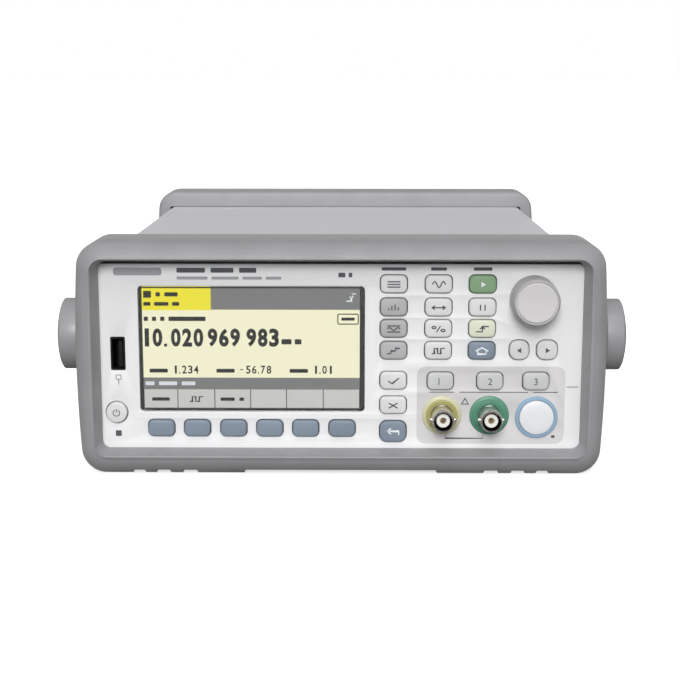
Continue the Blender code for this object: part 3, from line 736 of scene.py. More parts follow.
def key_outline(name, grow=0.0):
    """A key's outline: a disc for the power key, and a rectangle with round corners for any other."""
    size = Box(name).size
    if name == "power_key":
        return circle(size.x / 2 + grow, 40)
    return rounded(size.x + 2 * grow, size.z + 2 * grow, ROUNDER_KEYS.get(name, KEY_CORNER) + grow)


def plate_with_holes(outlines, front, thick, chamfer):
    """A flat plate facing -Y, from closed outlines: the first is its edge, the rest are holes."""
    curve = bpy.data.curves.new("plate", "CURVE")
    curve.dimensions = "2D"
    curve.fill_mode = "BOTH"
    curve.extrude = thick / 2 - chamfer
    curve.bevel_depth = chamfer
    curve.bevel_resolution = 1
    curve.offset = -chamfer
    for outline in outlines:
        spline = curve.splines.new("POLY")
        spline.points.add(len(outline) - 1)
        for point, (x, z) in zip(spline.points, outline):
            point.co = (x, z, 0.0, 1.0)
        spline.use_cyclic_u = True
    bm = solid_curve(curve)
    bm.transform(Matrix.Translation((0, front + thick / 2, 0)) @ Matrix.Rotation(math.pi / 2, 4, "X"))
    return bm


def build_bezel():
    """The moulded front: a plate with a hole for each key and connector, and a rim behind its edge."""
    middle, height = BEZEL.centre.z - TOP_GAP / 2, BEZEL.size.z - TOP_GAP
    edge = rounded(BEZEL.size.x, height, PLATE_CORNER, 8)
    holes = {name: key_outline(name, KEY_GAP) for name in KEYS}
    holes["display_window"] = rounded(WINDOW.size.x + 0.6, WINDOW.size.z + 0.6, 1.8)
    for name in ("input_bnc_1", "input_bnc_2", "channel_3_plug"):
        holes[name] = circle(5.05, 40)
    holes["knob"] = circle(3.9, 40)
    holes["usb_host_port"] = rounded(USB.size.x + 0.7, USB.size.z + 0.7, 0.6, 4)
    outlines = [moved(edge, 0, middle)]
    for name, hole in holes.items():
        centre = Box(name).centre
        outlines.append(moved(hole, centre.x, centre.z))
    bm = plate_with_holes(outlines, PANEL, BEZEL_THICK, PLATE_CHAMFER)
    inner = rounded(BEZEL.size.x - 2 * RIM_THICK, height - 2 * RIM_THICK, 2.0, 8)
    tube(bm, edge, inner, 0, middle, PANEL + BEZEL_THICK - 0.1, BEZEL.high.y)
    piece("bezel_plate", bm, ["panel"], node="front_bezel", sharp=25.0)


# Marks


def bars(bm, left, right, middle, height, words, front, material):
    """Plain bars in place of words, with gaps between them. Words holds their lengths, in shares."""
    step = (right - left) / (sum(words) + len(words) - 1)
    x = left
    for word in words:
        outline = rounded(word * step, height, min(0.3, height / 4), 2)
        slab(bm, outline, x + word * step / 2, middle, front, front + PRINT, material)
        x += (word + 1) * step


def wave():
    """One and a half periods of a sine, from -1 to 1."""
    shares = [n / 24 for n in range(25)]
    return [(2 * share - 1, 0.8 * math.sin(3 * math.pi * share)) for share in shares]


def polar(radius, turns, centre):
    """Points round a centre, at angles in degrees."""
    angles = [math.radians(turn) for turn in turns]
    return moved([(radius * math.cos(angle), radius * math.sin(angle)) for angle in angles], *centre)


def arc(radius, start, end, centre=(0, 0)):
    return polar(radius, [start + (end - start) * n / 18 for n in range(19)], centre)


# Strokes in a square from -1 to 1. A name that starts with "filled" is a solid shape.
PICTOGRAMS = {
    "sine": [wave()],
    "pulse": [
        [(-1, -0.7), (-0.6, -0.7), (-0.6, 0.7), (-0.1, 0.7), (-0.1, -0.7), (0.4, -0.7), (0.4, 0.7), (1, 0.7)],
    ],
    "span": [[(-1, 0), (1, 0)], [(-0.6, 0.5), (-1, 0), (-0.6, -0.5)], [(0.6, 0.5), (1, 0), (0.6, -0.5)]],
    "ratio": [
        [(-0.3, -0.8), (0.3, 0.8)],
        arc(0.3, 0, 360, centre=(-0.7, 0.4)),
        arc(0.3, 0, 360, centre=(0.7, -0.4)),
    ],
    "steps": [[(-1, -0.7), (-0.4, -0.7), (-0.4, 0), (0.3, 0), (0.3, 0.7), (1, 0.7)]],
    "bars": [[(x, -0.8), (x, top)] for x, top in ((-0.8, -0.2), (-0.3, 0.4), (0.2, 0.8), (0.7, 0.1))],
    "limits": [[(-1, 0.8), (1, 0.8)], [(-1, -0.8), (1, -0.8)], scaled(wave(), 1.0, 0.45)],
    "rows": [[(-1, z), (1, z)] for z in (0.7, 0.0, -0.7)],
    "pause": [[(-0.35, -0.8), (-0.35, 0.8)], [(0.35, -0.8), (0.35, 0.8)]],
    "edge": [[(-1, -0.7), (0, -0.7), (0, 0.7), (1, 0.7)], [(-0.4, 0.0), (0, 0.5), (0.4, 0.0)]],
    "home": [[(-1, 0), (0, 0.9), (1, 0)], [(-0.65, 0.1), (-0.65, -0.8), (0.65, -0.8), (0.65, 0.1)]],
    "check": [[(-0.8, 0.0), (-0.2, -0.7), (0.9, 0.8)]],
    "cross": [[(-0.7, -0.7), (0.7, 0.7)], [(-0.7, 0.7), (0.7, -0.7)]],
    "back": [[(0.9, -0.8), (0.9, 0.2), (-0.9, 0.2)], [(-0.3, 1.0), (-0.9, 0.2), (-0.3, -0.6)]],
    "power": [arc(0.8, 120, 420), [(0, 0.1), (0, 1.0)]],
    "filled_right": [[(-0.5, -0.8), (0.8, 0.0), (-0.5, 0.8)]],
    "filled_left": [[(0.5, -0.8), (-0.8, 0.0), (0.5, 0.8)]],
}


def pictogram(bm, mark, x, z, width, height, line, front, material):
    """Strokes of one width, or a solid shape, fitted to a width and a height."""
    for stroke in PICTOGRAMS[mark]:
        points = moved(scaled(stroke, width / 2, height / 2), x, z)
        if mark.startswith("filled"):
            loft(bm, [ring_at(points, 0, y, 0) for y in (front, front + PRINT)], material)
        else:
            ribbon(bm, points, line, front, material)


# Keys


def numbered(stem, marks):
    return {f"{stem}_{n}": mark for n, mark in enumerate(marks, 1)}


KEY_MARKS = {
    **numbered("mode_key", ("rows", "bars", "limits", "steps")),
    **numbered("function_key", ("sine", "span", "ratio", "pulse")),
    **numbered("channel_key", "123"),
    "run_key": "filled_right",
    "stop_key": "pause",
    "trigger_key": "edge",
    "local_key": "home",
    "enter_key": "check",
    "cancel_key": "cross",
    "back_key": "back",
    "left_arrow_key": "filled_left",
    "right_arrow_key": "filled_right",
    "power_key": "power",
}
KEY_DOME = 0.14
KEY_ROLL = 0.75  # radius of the rolled edge
MARK_LIFT = 0.02
MARK_SIZE, SMALL_MARK, POWER_MARK = (5.6, 3.3), (3.0, 3.0), (3.6, 3.6)


def key_body(name, box):
    """A key's shape: straight sides, a rolled edge and a slightly domed top."""
    front, half = box.low.y, min(box.size.x, box.size.z) / 2
    rings = [(0.0, box.high.y), (0.0, front + KEY_ROLL + KEY_DOME)]
    for share in (0.2, 0.4, 0.6, 0.8, 1.0):
        turn = math.pi / 2 * share
        rings.append((KEY_ROLL * (1 - math.cos(turn)), front + KEY_DOME + KEY_ROLL * (1 - math.sin(turn))))
    for share in (0.25, 0.5, 0.75):
        rings.append((KEY_ROLL + (half - KEY_ROLL) * share, front + KEY_DOME * (1 - share) ** 2))
    outline = key_outline(name)
    layers = []
    for inset, y in rings:
        shrunk = scaled(outline, 1 - inset / (box.size.x / 2), 1 - inset / (box.size.z / 2))
        layers.append(ring_at(shrunk, box.centre.x, y, box.centre.z))
    bm = bmesh.new()
    loft(bm, layers)
    return bm


def mark_key(bm, name, box):
    """A key's mark: a digit, or a pictogram. The soft keys have none."""
    mark = KEY_MARKS.get(name)
    x, z, top = box.centre.x, box.centre.z, box.low.y - MARK_LIFT
    if not mark:
        return
    if mark.isdigit():
        add_digit(bm, mark, x + DIGIT_LEFT, z, DIGIT_HEIGHT, top, 1, thick=0.2)
    elif mark == "power":
        pictogram(bm, mark, x, z, *POWER_MARK, 0.4, top, 1)
    else:
        size = SMALL_MARK if mark.startswith("filled") else MARK_SIZE
        pictogram(bm, mark, x, z, *size, 0.55, top, 1)


def build_key(name):
    box = Box(name)
    bm = key_body(name, box)
    mark_key(bm, name, box)
    slot = SLOTS[name]
    finish = "key_pale" if "arrow" in name else "key_dim" if "channel" in name else slot
    ink = "ink_light" if slot in ("key_blue", "key_green") else "ink"
    piece(name + "_cap", bm, [finish, ink], body=name, node=name, sharp=50.0)


# Display

PAGE_LEFT, PAGE_RIGHT, PAGE_LOW, PAGE_HIGH = -86.7, 8.3, 27.2, 81.0
TITLE_RIGHT, TITLE_LOW = -56.6, 71.3
HEADER_LOW = 71.6
STATUS_LOW, STATUS_HIGH = 36.0, 41.3
TAB_EDGES = (PAGE_LEFT, -71.8, -55.5, -39.7, -23.9, -7.7, PAGE_RIGHT)
TILE_THICK = 0.08
# Bars in place of words: left, right, middle, height and the lengths of the words
PAGE_BARS = (
    (-80.6, -71.0, 78.3, 1.8, (1, 3)),
    (-86.0, -70.4, 74.1, 1.6, (2, 4, 2)),
    (-86.0, -59.0, 67.5, 1.9, (1, 1, 1, 9)),
    (0.3, 6.1, 67.5, 1.3, (1,)),
    (-25.9, -17.2, 57.4, 2.3, (3, 2)),
    (-83.2, -75.4, 31.6, 1.5, (1,)),
    (-53.0, -42.6, 31.6, 1.5, (3, 1)),
)
# The reading, in groups of digits, and the smaller values below it: the digits and where they start
READING = (("10.", -87.3), ("020", -74.3), ("969", -58.2), ("983", -41.2))
VALUES = (("1.234", -84.0), ("-56.78", -54.6), ("1.01", -22.4))


def tile(bm, left, right, low, high, front, material):
    block(bm, (left, front, low), (right, front + TILE_THICK, high), material)


def build_page(front):
    """The lit page: a header with a yellow title, the reading, its values and a row of soft key tabs."""
    pale, yellow, bar, tab, ink, white = range(6)
    text = front - 0.07
    bm = bmesh.new()
    tile(bm, PAGE_LEFT, PAGE_RIGHT, STATUS_HIGH, HEADER_LOW, front, pale)
    tile(bm, PAGE_LEFT, TITLE_RIGHT, TITLE_LOW, PAGE_HIGH, front - 0.02, yellow)
    tile(bm, TITLE_RIGHT, PAGE_RIGHT, HEADER_LOW, PAGE_HIGH, front, bar)
    tile(bm, PAGE_LEFT, PAGE_RIGHT, STATUS_LOW, STATUS_HIGH, front, bar)
    for start, end in zip(TAB_EDGES, TAB_EDGES[1:]):
        tile(bm, start + 0.2, end - 0.2, PAGE_LOW + 0.5, STATUS_LOW, front, tab)
    block(bm, (-86.0, text, 76.8), (-82.6, text + PRINT, 79.8), ink)
    for left, right, middle, height, words in PAGE_BARS:
        bars(bm, left, right, middle, height, words, text, ink)
    bars(bm, -86.0, -64.0, 38.7, 1.7, (2, 4, 3), text, white)
    pictogram(bm, "edge", 4.6, 77.0, 4.2, 4.6, 0.6, text, white)
    pictogram(bm, "pulse", -63.6, 31.6, 6.0, 3.0, 0.5, text, ink)
    ribbon(bm, moved(rounded(8.9, 4.4, 0.5, 2), 3.2, 67.5), 0.45, text, ink, closed=True)
    for digits, start in READING:
        number(bm, digits, start, 4.95, 4.25, 59.2, 8.1, text, ink, bold=0.042)
    for digits, start in VALUES:
        bars(bm, start, start + 8.0, 44.4, 1.7, (1,), text, ink)
        number(bm, digits, start + 10.4, 2.6, 2.0, 44.9, 3.6, text, ink, bold=0.02)
    finishes = ["screen_pale", "screen_yellow", "screen_bar", "screen_tab", "screen_ink", "ink_light"]
    piece("screen_page", bm, finishes)


def build_border(front):
    """The black border printed behind the window, round the lit page."""
    outer = rounded(WINDOW.size.x + 0.4, WINDOW.size.z + 0.4, 1.5)
    outer = moved(outer, WINDOW.centre.x, WINDOW.centre.z)
    inner = rounded(PAGE_RIGHT - PAGE_LEFT, PAGE_HIGH - PAGE_LOW, 0.4)
    inner = moved(inner, (PAGE_LEFT + PAGE_RIGHT) / 2, (PAGE_LOW + PAGE_HIGH) / 2)
    bm = bmesh.new()
    tube(bm, outer, inner, 0, 0, front - 0.1, front + 0.1)
    piece("screen_border", bm, ["screen_black"])


def build_display():
    """The lit page on the display module, and the window in front of it."""
    front = Box("display_module").low.y - 0.12
    build_page(front)
    build_border(front)
    bm = bmesh.new()
    outline = rounded(WINDOW.size.x, WINDOW.size.z, 1.6)
    slab(bm, outline, WINDOW.centre.x, WINDOW.centre.z, WINDOW.low.y, WINDOW.high.y, edge=0.25)
    piece("window_pane", bm, ["glass"], node="display_window", sharp=30)


# Panel prints

DARK, GREY = 0, 1
# Bars in place of words, and short lines: left, right, middle, height, the lengths of the words and the ink
PANEL_BARS = (
    (-71.0, -36.5, 89.2, 2.1, (5, 4, 3), DARK),
    (-71.0, -25.7, 85.8, 1.3, (8, 7, 5, 4), GREY),
    (-1.0, 5.0, 87.2, 2.0, (2, 1), DARK),
    (17.7, 28.3, 89.9, 1.4, (1,), DARK),
    (39.0, 45.8, 89.9, 1.4, (1,), DARK),
    (57.4, 65.4, 89.9, 1.4, (1,), DARK),
    (39.0, 95.0, 35.5, 0.35, (5, 14, 5), DARK),
    (98.8, 104.0, 37.9, 0.5, (1,), GREY),
    (92.6, 94.2, 15.6, 1.2, (1,), DARK),
)
WARNING_AT, WARNING_SIZE = (54.5, 31.0), 1.7
WARNING_TURNS = (90.0, 210.6, 329.4)


def build_legends():
    """What is printed on the front panel, as plain bars, lines and signs in place of words."""
    bm = bmesh.new()
    front = PANEL - PRINT
    slab(bm, rounded(21.0, 3.4, 1.2), -88.0, 88.6, front, PANEL, GREY)
    for left, right, middle, height, words, ink in PANEL_BARS:
        bars(bm, left, right, middle, height, words, front, ink)
    ribbon(bm, polar(WARNING_SIZE, WARNING_TURNS, WARNING_AT), 0.4, front, DARK, closed=True)
    ribbon(bm, [(46.0, 16.2), (46.0, 14.7), (62.7, 14.7), (62.7, 16.2)], 0.35, front, DARK)
    slab(bm, rounded(2.6, 2.6, 0.4), USB.centre.x - 0.6, 16.6, front, PANEL, DARK)
    ribbon(bm, [(USB.centre.x, 38.6), (USB.centre.x, 41.0)], 0.45, front, GREY)
    ribbon(bm, moved(rounded(2.2, 1.9, 0.2, 2), USB.centre.x, 41.9), 0.4, front, GREY, closed=True)
    piece("panel_legends", bm, ["ink", "ink_grey"])


# Knob and connectors

KNOB_RIBS = 56
RIB_DEPTH = 0.16
KNOB_FACE = 9.0  # radius inside which the knob keeps its own colour; outside it the side is painted darker as shade
BORE_RADIUS = 4.1  # of a bayonet jack's inside, painted near-black as shade


def on_panel(node):
    """The point of the panel's face in line with a node."""
    centre = Box(node).centre
    return (centre.x, PANEL, centre.z)


def shade_faces(bm, chosen, material):
    """Gives a material to the faces whose centres are chosen."""
    for face in bm.faces:
        if chosen(face.calc_center_median()):
            face.material_index = material


def build_knob():
    """A turned knob with fine ribs round its side and a groove round its dished face. Its side is painted darker,
    as shade.
    """
    place = on_panel("knob")
    tip = PANEL - Box("knob").low.y

    def ribbed(reach, angle):
        """How far the ribs cut in. They fade out near both ends of the side."""
        start = min(1.0, max(0.0, (reach - 1.6) / 0.5))
        end = min(1.0, max(0.0, (tip - 2.2 - reach) / 0.8))
        return -RIB_DEPTH * start * end * (0.5 + 0.5 * math.cos(KNOB_RIBS * angle)) ** 2

    profile = [(0, 8.3), (3.2, 8.3), (3.2, 0.4), (10.0, 0.4), (10.35, 0.6), (10.45, 1.0), (10.45, 1.6)]
    profile += [(10.42, 2.1), (10.35, 5.0), (10.2, tip - 3.0), (10.1, tip - 2.2), (9.95, tip - 1.3)]
    profile += [(9.65, tip - 0.6), (9.3, tip - 0.2), (9.1, tip - 0.25), (9.0, tip - 0.8), (8.6, tip - 0.8)]
    profile += [(8.5, tip - 0.2), (8.2, tip), (7.4, tip - 0.04), (6.0, tip - 0.16), (3.5, tip - 0.28)]
    profile += [(0, tip - 0.32)]
    bm = bmesh.new()
    turn_profile(bm, profile, place, steps=KNOB_RIBS * 6, ripple=ribbed)
    # Painted shade: faces outside the face radius take the darker copy of the knob plastic.
    shade_faces(bm, lambda at: math.hypot(at.x - place[0], at.z - place[2]) > KNOB_FACE, 1)
    piece("knob_cap", bm, ["knob", "knob_painted_shade"], body="knob", node="knob")


def build_bnc(node, face, way):
    """A bayonet jack: shell, two lugs, white insulator and gold contact; a rear one has its nut outside. Its bore
    is painted near-black as shade.
    """
    centre = Box(node).centre
    place, out = Vector((centre.x, face, centre.z)), Vector((0, way, 0))
    shell, pale, gold, dark = range(4)
    bm = bmesh.new()
    barrel = [(0, -8), (4.7, -8), (4.7, 1.7), (4.45, 1.9), (4.45, 2.9), (4.8, 3.2)]
    barrel += [(4.8, 12.3), (4.7, 12.7), (4.45, 13.0), (4.2, 13.0), (4.05, 12.8), (4.05, 4.6), (0, 4.6)]
    turn_profile(bm, barrel, place, out, 64, shell)
    # Painted shade: the faces deep inside the bore take the near-black port metal.
    shade_faces(bm, lambda at: abs(at.y - face) > 4.0 and math.dist(at.xz, place.xz) < BORE_RADIUS, dark)
    insulator = [(0, 4.5), (3.0, 4.5), (3.0, 11.0), (2.8, 11.3), (1.6, 11.3)]
    insulator += [(1.4, 11.1), (1.4, 6.5), (0, 6.5)]
    turn_profile(bm, insulator, place, out, 40, pale)
    contact = [(0, 6.4), (0.7, 6.4), (0.7, 10.1), (0.6, 10.3), (0.4, 10.3)]
    contact += [(0.34, 10.1), (0.34, 7.5), (0, 7.5)]
    turn_profile(bm, contact, place, out, 24, gold)
    lug = [(0, 4.4), (0.95, 4.4), (0.95, 5.5), (0.75, 5.75), (0, 5.75)]
    for side in (-1, 1):
        turn_profile(bm, lug, place + out * 9.0, (side, 0, 0), 20, shell)
    if way > 0:
        nut = [(4.9, 0.3), (6.3, 0.3), (6.6, 0.6), (6.6, 2.3), (6.2, 2.6), (4.9, 2.6), (4.9, 0.3)]
        turn_profile(bm, nut, place, out, 6, shell)
    piece(node + "_jack", bm, ["nickel", "insulator", "gold", "port"], node=node)


def build_input(node, colours):
    """A front jack in its coloured collar, on a flat skirt."""
    build_bnc(node, PANEL, -1)
    bm = bmesh.new()
    skirt = [(6.6, 0.05), (8.7, 0.05), (8.7, 0.25), (8.4, 0.5), (7.1, 0.75), (6.6, 0.75), (6.6, 0.05)]
    turn_profile(bm, skirt, on_panel(node))
    collar = [(4.9, 0.05), (7.0, 0.05), (7.0, 1.2), (6.7, 1.55), (6.2, 1.6)]
    collar += [(5.6, 1.2), (4.9, 1.1), (4.9, 0.05)]
    turn_profile(bm, collar, on_panel(node), material=1)
    piece(node + "_collar", bm, colours)


def build_inputs():
    """The two front inputs, and the blanking plug where channel 3 would be."""
    # Lit and shaded copies of one yellow: the pale skirt shows it lit, and the olive collar is painted shade.
    build_input("input_bnc_1", ["pale_yellow_lit_copy", "yellow"])
    build_input("input_bnc_2", ["green", "green"])
    place = on_panel("channel_3_plug")
    bm = bmesh.new()
    cap = [(0, -8), (4.7, -8), (4.7, 0.3), (7.4, 0.3), (7.6, 0.5), (7.6, 1.4), (7.4, 1.8), (6.9, 2.0)]
    cap += [(4.0, 2.15), (0, 2.2)]
    turn_profile(bm, cap, place)
    piece("channel_3_cap", bm, ["plug"], node="channel_3_plug")
    bm = bmesh.new()
    ring = [(7.75, 0.05), (9.3, 0.05), (9.3, 0.7), (9.0, 1.05), (8.1, 1.15), (7.75, 0.9), (7.75, 0.05)]
    turn_profile(bm, ring, place)
    piece("channel_3_ring", bm, ["blue"])


# Ports


def bar_along(bm, x, z, width, height, front, back, material=0, edge=0.0):
    """A block along Y, round (x, z)."""
    low = (x - width / 2, front, z - height / 2)
    block(bm, low, (x + width / 2, back, z + height / 2), material, edge)


def build_usb_host():
    """The four contacts inside the front socket."""
    bm = bmesh.new()
    for n in range(4):
        z = USB.centre.z - 3.75 + 2.5 * n
        bar_along(bm, USB.centre.x + 0.3, z, 0.2, 1.0, PANEL + 1.4, PANEL + 9.0)
    piece("usb_host_contacts", bm, ["gold"])


def build_lan():
    """The network socket's liner, eight contacts and two lamps."""
    port = Box("lan_port")
    x, z, face = port.centre.x, port.centre.z, port.high.y
    liner, gold, green, yellow = range(4)
    bm = bmesh.new()
    tube(bm, rounded(11.9, 7.9, 0.2, 1), rounded(11.5, 7.5, 0.1, 1), x, z, REAR_FACE - 12.0, face - 0.4)
    for n in range(8):
        bar_along(bm, x - 3.57 + 1.02 * n, z + 2.65, 0.44, 0.5, REAR_FACE - 10.0, REAR_FACE - 0.6, gold)
    for side, colour in ((-1, green), (1, yellow)):
        bar_along(bm, x + side * 6.4, z - 5.3, 2.4, 1.4, face - 0.1, face + 0.12, colour, 0.1)
    piece("lan_contacts", bm, ["black", "gold", "green", "yellow"])


def build_usb_device():
    """The rear socket's tongue, with two contacts above and two below."""
    port = Box("usb_device_port")
    x, z = port.centre.x, port.centre.z
    bm = bmesh.new()
    bar_along(bm, x, z, 5.8, 3.4, REAR_FACE - 11.0, REAR_FACE + 0.1, 0, 0.15)
    for side_x, side_z in CORNERS:
        at = (x + side_x * 1.3, z + side_z * 1.725)
        bar_along(bm, *at, 1.0, 0.15, REAR_FACE - 9.0, REAR_FACE - 0.8, 1)
    piece("usb_device_tongue", bm, ["plug", "gold"])


def build_inlet_blades():
    inlet = Box("power_inlet")
    x, z = inlet.low.x + 18.5, inlet.centre.z
    bm = bmesh.new()
    for px, pz in ((-7.0, -2.6), (7.0, -2.6), (0.0, 2.6)):
        bar_along(bm, x + px, z + pz, 2.1, 4.1, inlet.low.y + 3.0, inlet.high.y - 2.9, 0, 0.3)
    piece("inlet_blades", bm, ["nickel"])


def build_fuse_tab():
    """The pull tab and three grip ribs on the fuse drawer's face."""
    drawer = Box("fuse_drawer")
    x, z, y = drawer.centre.x, drawer.centre.z, drawer.high.y
    bm = bmesh.new()
    slab_back(bm, rounded(5.4, 2.2, 0.6), x, z + 7.2, y + 0.4, y - 0.4)
    for n in range(3):
        slab_back(bm, rounded(4.6, 0.5, 0.2, 2), x, z - 6.0 - 1.1 * n, y + 0.15, y - 0.3)
    tab = piece("fuse_drawer_tab", bm, ["black"], body="fuse_drawer")


# Rear panel

BACKWARD = (0, 1, 0)
REAR_LINE = 0.35
# The ground sign beside its stud: four strokes
GROUND_SIGN = (
    [(-36, 27.5), (-36, 25.4)],
    [(-38, 25.4), (-34, 25.4)],
    [(-37.3, 24.5), (-34.7, 24.5)],
    [(-36.6, 23.6), (-35.4, 23.6)],
)


def screw(bm, recess, x, z, radius=2.6):
    """A pan head on the rear panel, and its cross recess in the other bmesh."""
    head = [(0, -0.5), (radius, -0.5), (radius, 0.35), (radius * 0.85, 0.95), (radius * 0.5, 1.25), (0, 1.32)]
    turn_profile(bm, head, (x, REAR_FACE, z), BACKWARD, 32)
    arm, half = 0.5 * radius, 0.12 * radius
    corner = [(arm, -half), (arm, half), (half, half)]
    cross = []
    for _ in range(4):
        cross += corner
        corner = [(-pz, px) for px, pz in corner]
    slab_back(recess, cross, x, z, REAR_FACE + 2.0, REAR_FACE + 0.7)


def rear_digit(bm, digit, x, z):
    """A digit that faces +Y: drawn facing -Y at the origin, then turned round."""
    drawn = bmesh.new()
    add_digit(drawn, digit, DIGIT_LEFT, 0.0, DIGIT_HEIGHT, 0.0)
    drawn.transform(Matrix.Translation((x, REAR_FACE + PRINT, z)) @ Matrix.Rotation(math.pi, 4, "Z"))
    join(bm, drawn)


def build_rear_screws():
    """The rear panel's and the fan's screws, and the ground stud."""
    bm, recess = bmesh.new(), bmesh.new()
    for x in (-101.0, 0.0, 101.0):
        screw(bm, recess, x, 86.3)
        screw(bm, recess, x, 13.0)
    for side_x, side_z in CORNERS:
        screw(bm, recess, FAN.centre.x + 25 * side_x, FAN.centre.z + 25 * side_z, 2.3)
    stud = (-36.0, REAR_FACE, 18.0)
    turn_profile(bm, [(0, 0), (3.4, 0), (3.4, 2.0), (3.0, 2.4), (0, 2.4)], stud, BACKWARD, 6)
    turn_profile(bm, [(0, 2.3), (1.9, 2.3), (1.9, 6.6), (1.5, 7.0), (0, 7.0)], stud, BACKWARD, 24)
    cut(piece("rear_screws", bm, ["nickel"]), recess)


def build_rear_legends():
    """Numbers by the rear connectors, frames round the jacks and the fan, and the ground sign."""
    bm = bmesh.new()
    for digit, node in enumerate(REAR_JACKS, 1):
        x = Box(node).centre.x
        rear_digit(bm, str(digit), x, 42.0)
        ribbon(bm, moved(rounded(19.0, 25.0, 1.5), x, 33.0), REAR_LINE, REAR_FACE, closed=True)
    for digit, node in enumerate(("lan_port", "usb_device_port"), 4):
        rear_digit(bm, str(digit), Box(node).centre.x, 77.5)
    for stroke in GROUND_SIGN:
        ribbon(bm, stroke, REAR_LINE, REAR_FACE)
    fan_frame = moved(rounded(66.0, 66.0, 3.0), FAN.centre.x, FAN.centre.z)
    ribbon(bm, fan_frame, REAR_LINE, REAR_FACE, closed=True)
    piece("rear_legends", bm, ["ink"])


def build_rating_label():
    """A white label with two columns of plain bars."""
    bm = bmesh.new()
    slab_back(bm, rounded(44.0, 20.0, 1.0), -76.0, 72.0, REAR_FACE + 0.12, REAR_FACE)
    piece("rating_label", bm, ["plug"])
    bm = bmesh.new()
    for row in range(4):
        for column in range(2):
            outline = rounded(17.0 - 2.0 * ((row + column) % 3), 0.9, 0.3, 2)
            slab_back(bm, outline, -86.5 + 21.0 * column, 78.5 - 4.2 * row, REAR_FACE + 0.17, REAR_FACE + 0.1)
    piece("rating_bars", bm, ["ink_grey"])


# Handle

GRIP = Box("handle_grip")
ARM_INNER, ARM_OUTER = 119.6, 126.0
WEB_INNER, WEB_OUTER = 125.4, 130.0  # of the cutter for the hollow along the arm
PAINTED_HIGHLIGHT_RING = (116.7, 118.7)  # painted highlight: a ring behind the hub's disc in the paler knob plastic


def hull_slab(points, start, end, edge):
    """A plate across X round (y, z) points, with rounded rims."""
    outline = [points[n] for n in geometry.convex_hull_2d(points)]
    bm = bmesh.new()
    loft(bm, [[(x, y, z) for y, z in outline] for x in (start, end)])
    if edge:
        rims = list({rim for face in bm.faces if len(face.verts) > 4 for rim in face.edges})
        bmesh.ops.bevel(bm, geom=rims, offset=edge, segments=3, profile=0.5, affect="EDGES")
    return bm


def along_arm(reach):
    """The (y, z) of the point that far from the hub's centre towards the bar."""
    way = (Vector((GRIP.centre.y, GRIP.centre.z)) - HUB.yz).normalized()
    return HUB.yz + way * reach


def build_arm(side, word):
    """A hub with a painted highlight ring and a crowned disc, joined to an arm with a hollow along its outside."""
    node = f"handle_{word}_arm"
    box = Box(node)
    crown = max(abs(box.low.x), abs(box.high.x))
    hub = [(0, 113.3), (8.4, 113.3), (9.0, 113.9), (9.0, 116.6), (14.4, 116.6), (15.6, 117.4), (15.7, 118.6)]
    hub += [(14.2, 118.8), (14.2, 119.9), (16.0, 119.9), (16.4, 120.3), (16.4, crown - 3.2)]
    hub += [(16.25, crown - 2.8), (15.8, crown - 2.5), (15.0, crown - 2.1), (13.0, crown - 1.55)]
    hub += [(10.0, crown - 0.9), (6.5, crown - 0.35), (3.0, crown - 0.08), (0, crown)]
    bm = bmesh.new()
    turn_profile(bm, hub, HUB, (side, 0, 0), 96)
    # Painted highlight: the faces of the ring behind the disc take the paler knob plastic.
    shade_faces(bm, lambda at: PAINTED_HIGHLIGHT_RING[0] < abs(at.x) < PAINTED_HIGHLIGHT_RING[1], 1)
    arm = piece(node + "_moulding", bm, ["handle", "knob"], body="handle", node=node)
    bar = moved(rounded(GRIP.size.y, GRIP.size.z, 2.2), GRIP.centre.y, GRIP.centre.z)
    plate = moved(circle(8.9, 60), HUB.y, HUB.z) + bar
    cut(arm, hull_slab(plate, side * ARM_INNER, side * ARM_OUTER, 0.9), "UNION")
    web = moved(circle(5.0, 32), *along_arm(25.0)) + moved(circle(1.4, 20), *along_arm(107.0))
    cut(arm, hull_slab(web, side * WEB_INNER, side * WEB_OUTER, 0.0))


def build_pivot(side, word):
    """The grooved boss on the case that a hub turns on."""
    boss = [(0, 106.6), (8.6, 106.6), (8.6, 108.0), (8.0, 108.2), (8.0, 108.8), (8.6, 109.0), (8.6, 112.4)]
    boss += [(8.3, 113.0), (7.8, 113.2), (0, 113.2)]
    bm = bmesh.new()
    turn_profile(bm, boss, HUB, (side, 0, 0), 64)
    piece(f"{word}_pivot_ring", bm, ["handle"], node=f"{word}_pivot_boss")


GRIP_GROOVES = [-72.0 + 8.0 * n for n in range(19)]
GRIP_NICK = 0.5


def build_grip_bar():
    """The bar between the arms: thicker in the middle, with fine grooves all round."""
    half = GRIP.size.x / 2
    stations = [-half, -half + 0.6, -96.0, -84.0]
    for x in GRIP_GROOVES:
        stations += [x - 1.3, x - 0.5, x + 0.5, x + 1.3]
    stations += [84.0, 96.0, half - 0.6, half]
    rings = []
    for x in stations:
        swell = 1.0 if abs(x) < 84.5 else 0.84 if abs(x) < half - 0.3 else 0.76
        nick = GRIP_NICK if any(abs(x - at) < 0.6 for at in GRIP_GROOVES) else 0.0
        outline = rounded(GRIP.size.y * swell - nick, GRIP.size.z * (0.5 + swell / 2) - nick, 2.1)
        rings.append([(x, y, z) for y, z in moved(outline, GRIP.centre.y, GRIP.centre.z)])
    bm = bmesh.new()
    loft(bm, rings)
    piece("grip_bar", bm, ["handle"], body="handle", node="handle_grip")


def build_handle():
    for side, word in ((-1, "left"), (1, "right")):
        build_arm(side, word)
        build_pivot(side, word)
    build_grip_bar()


# CAD nodes that show as they are

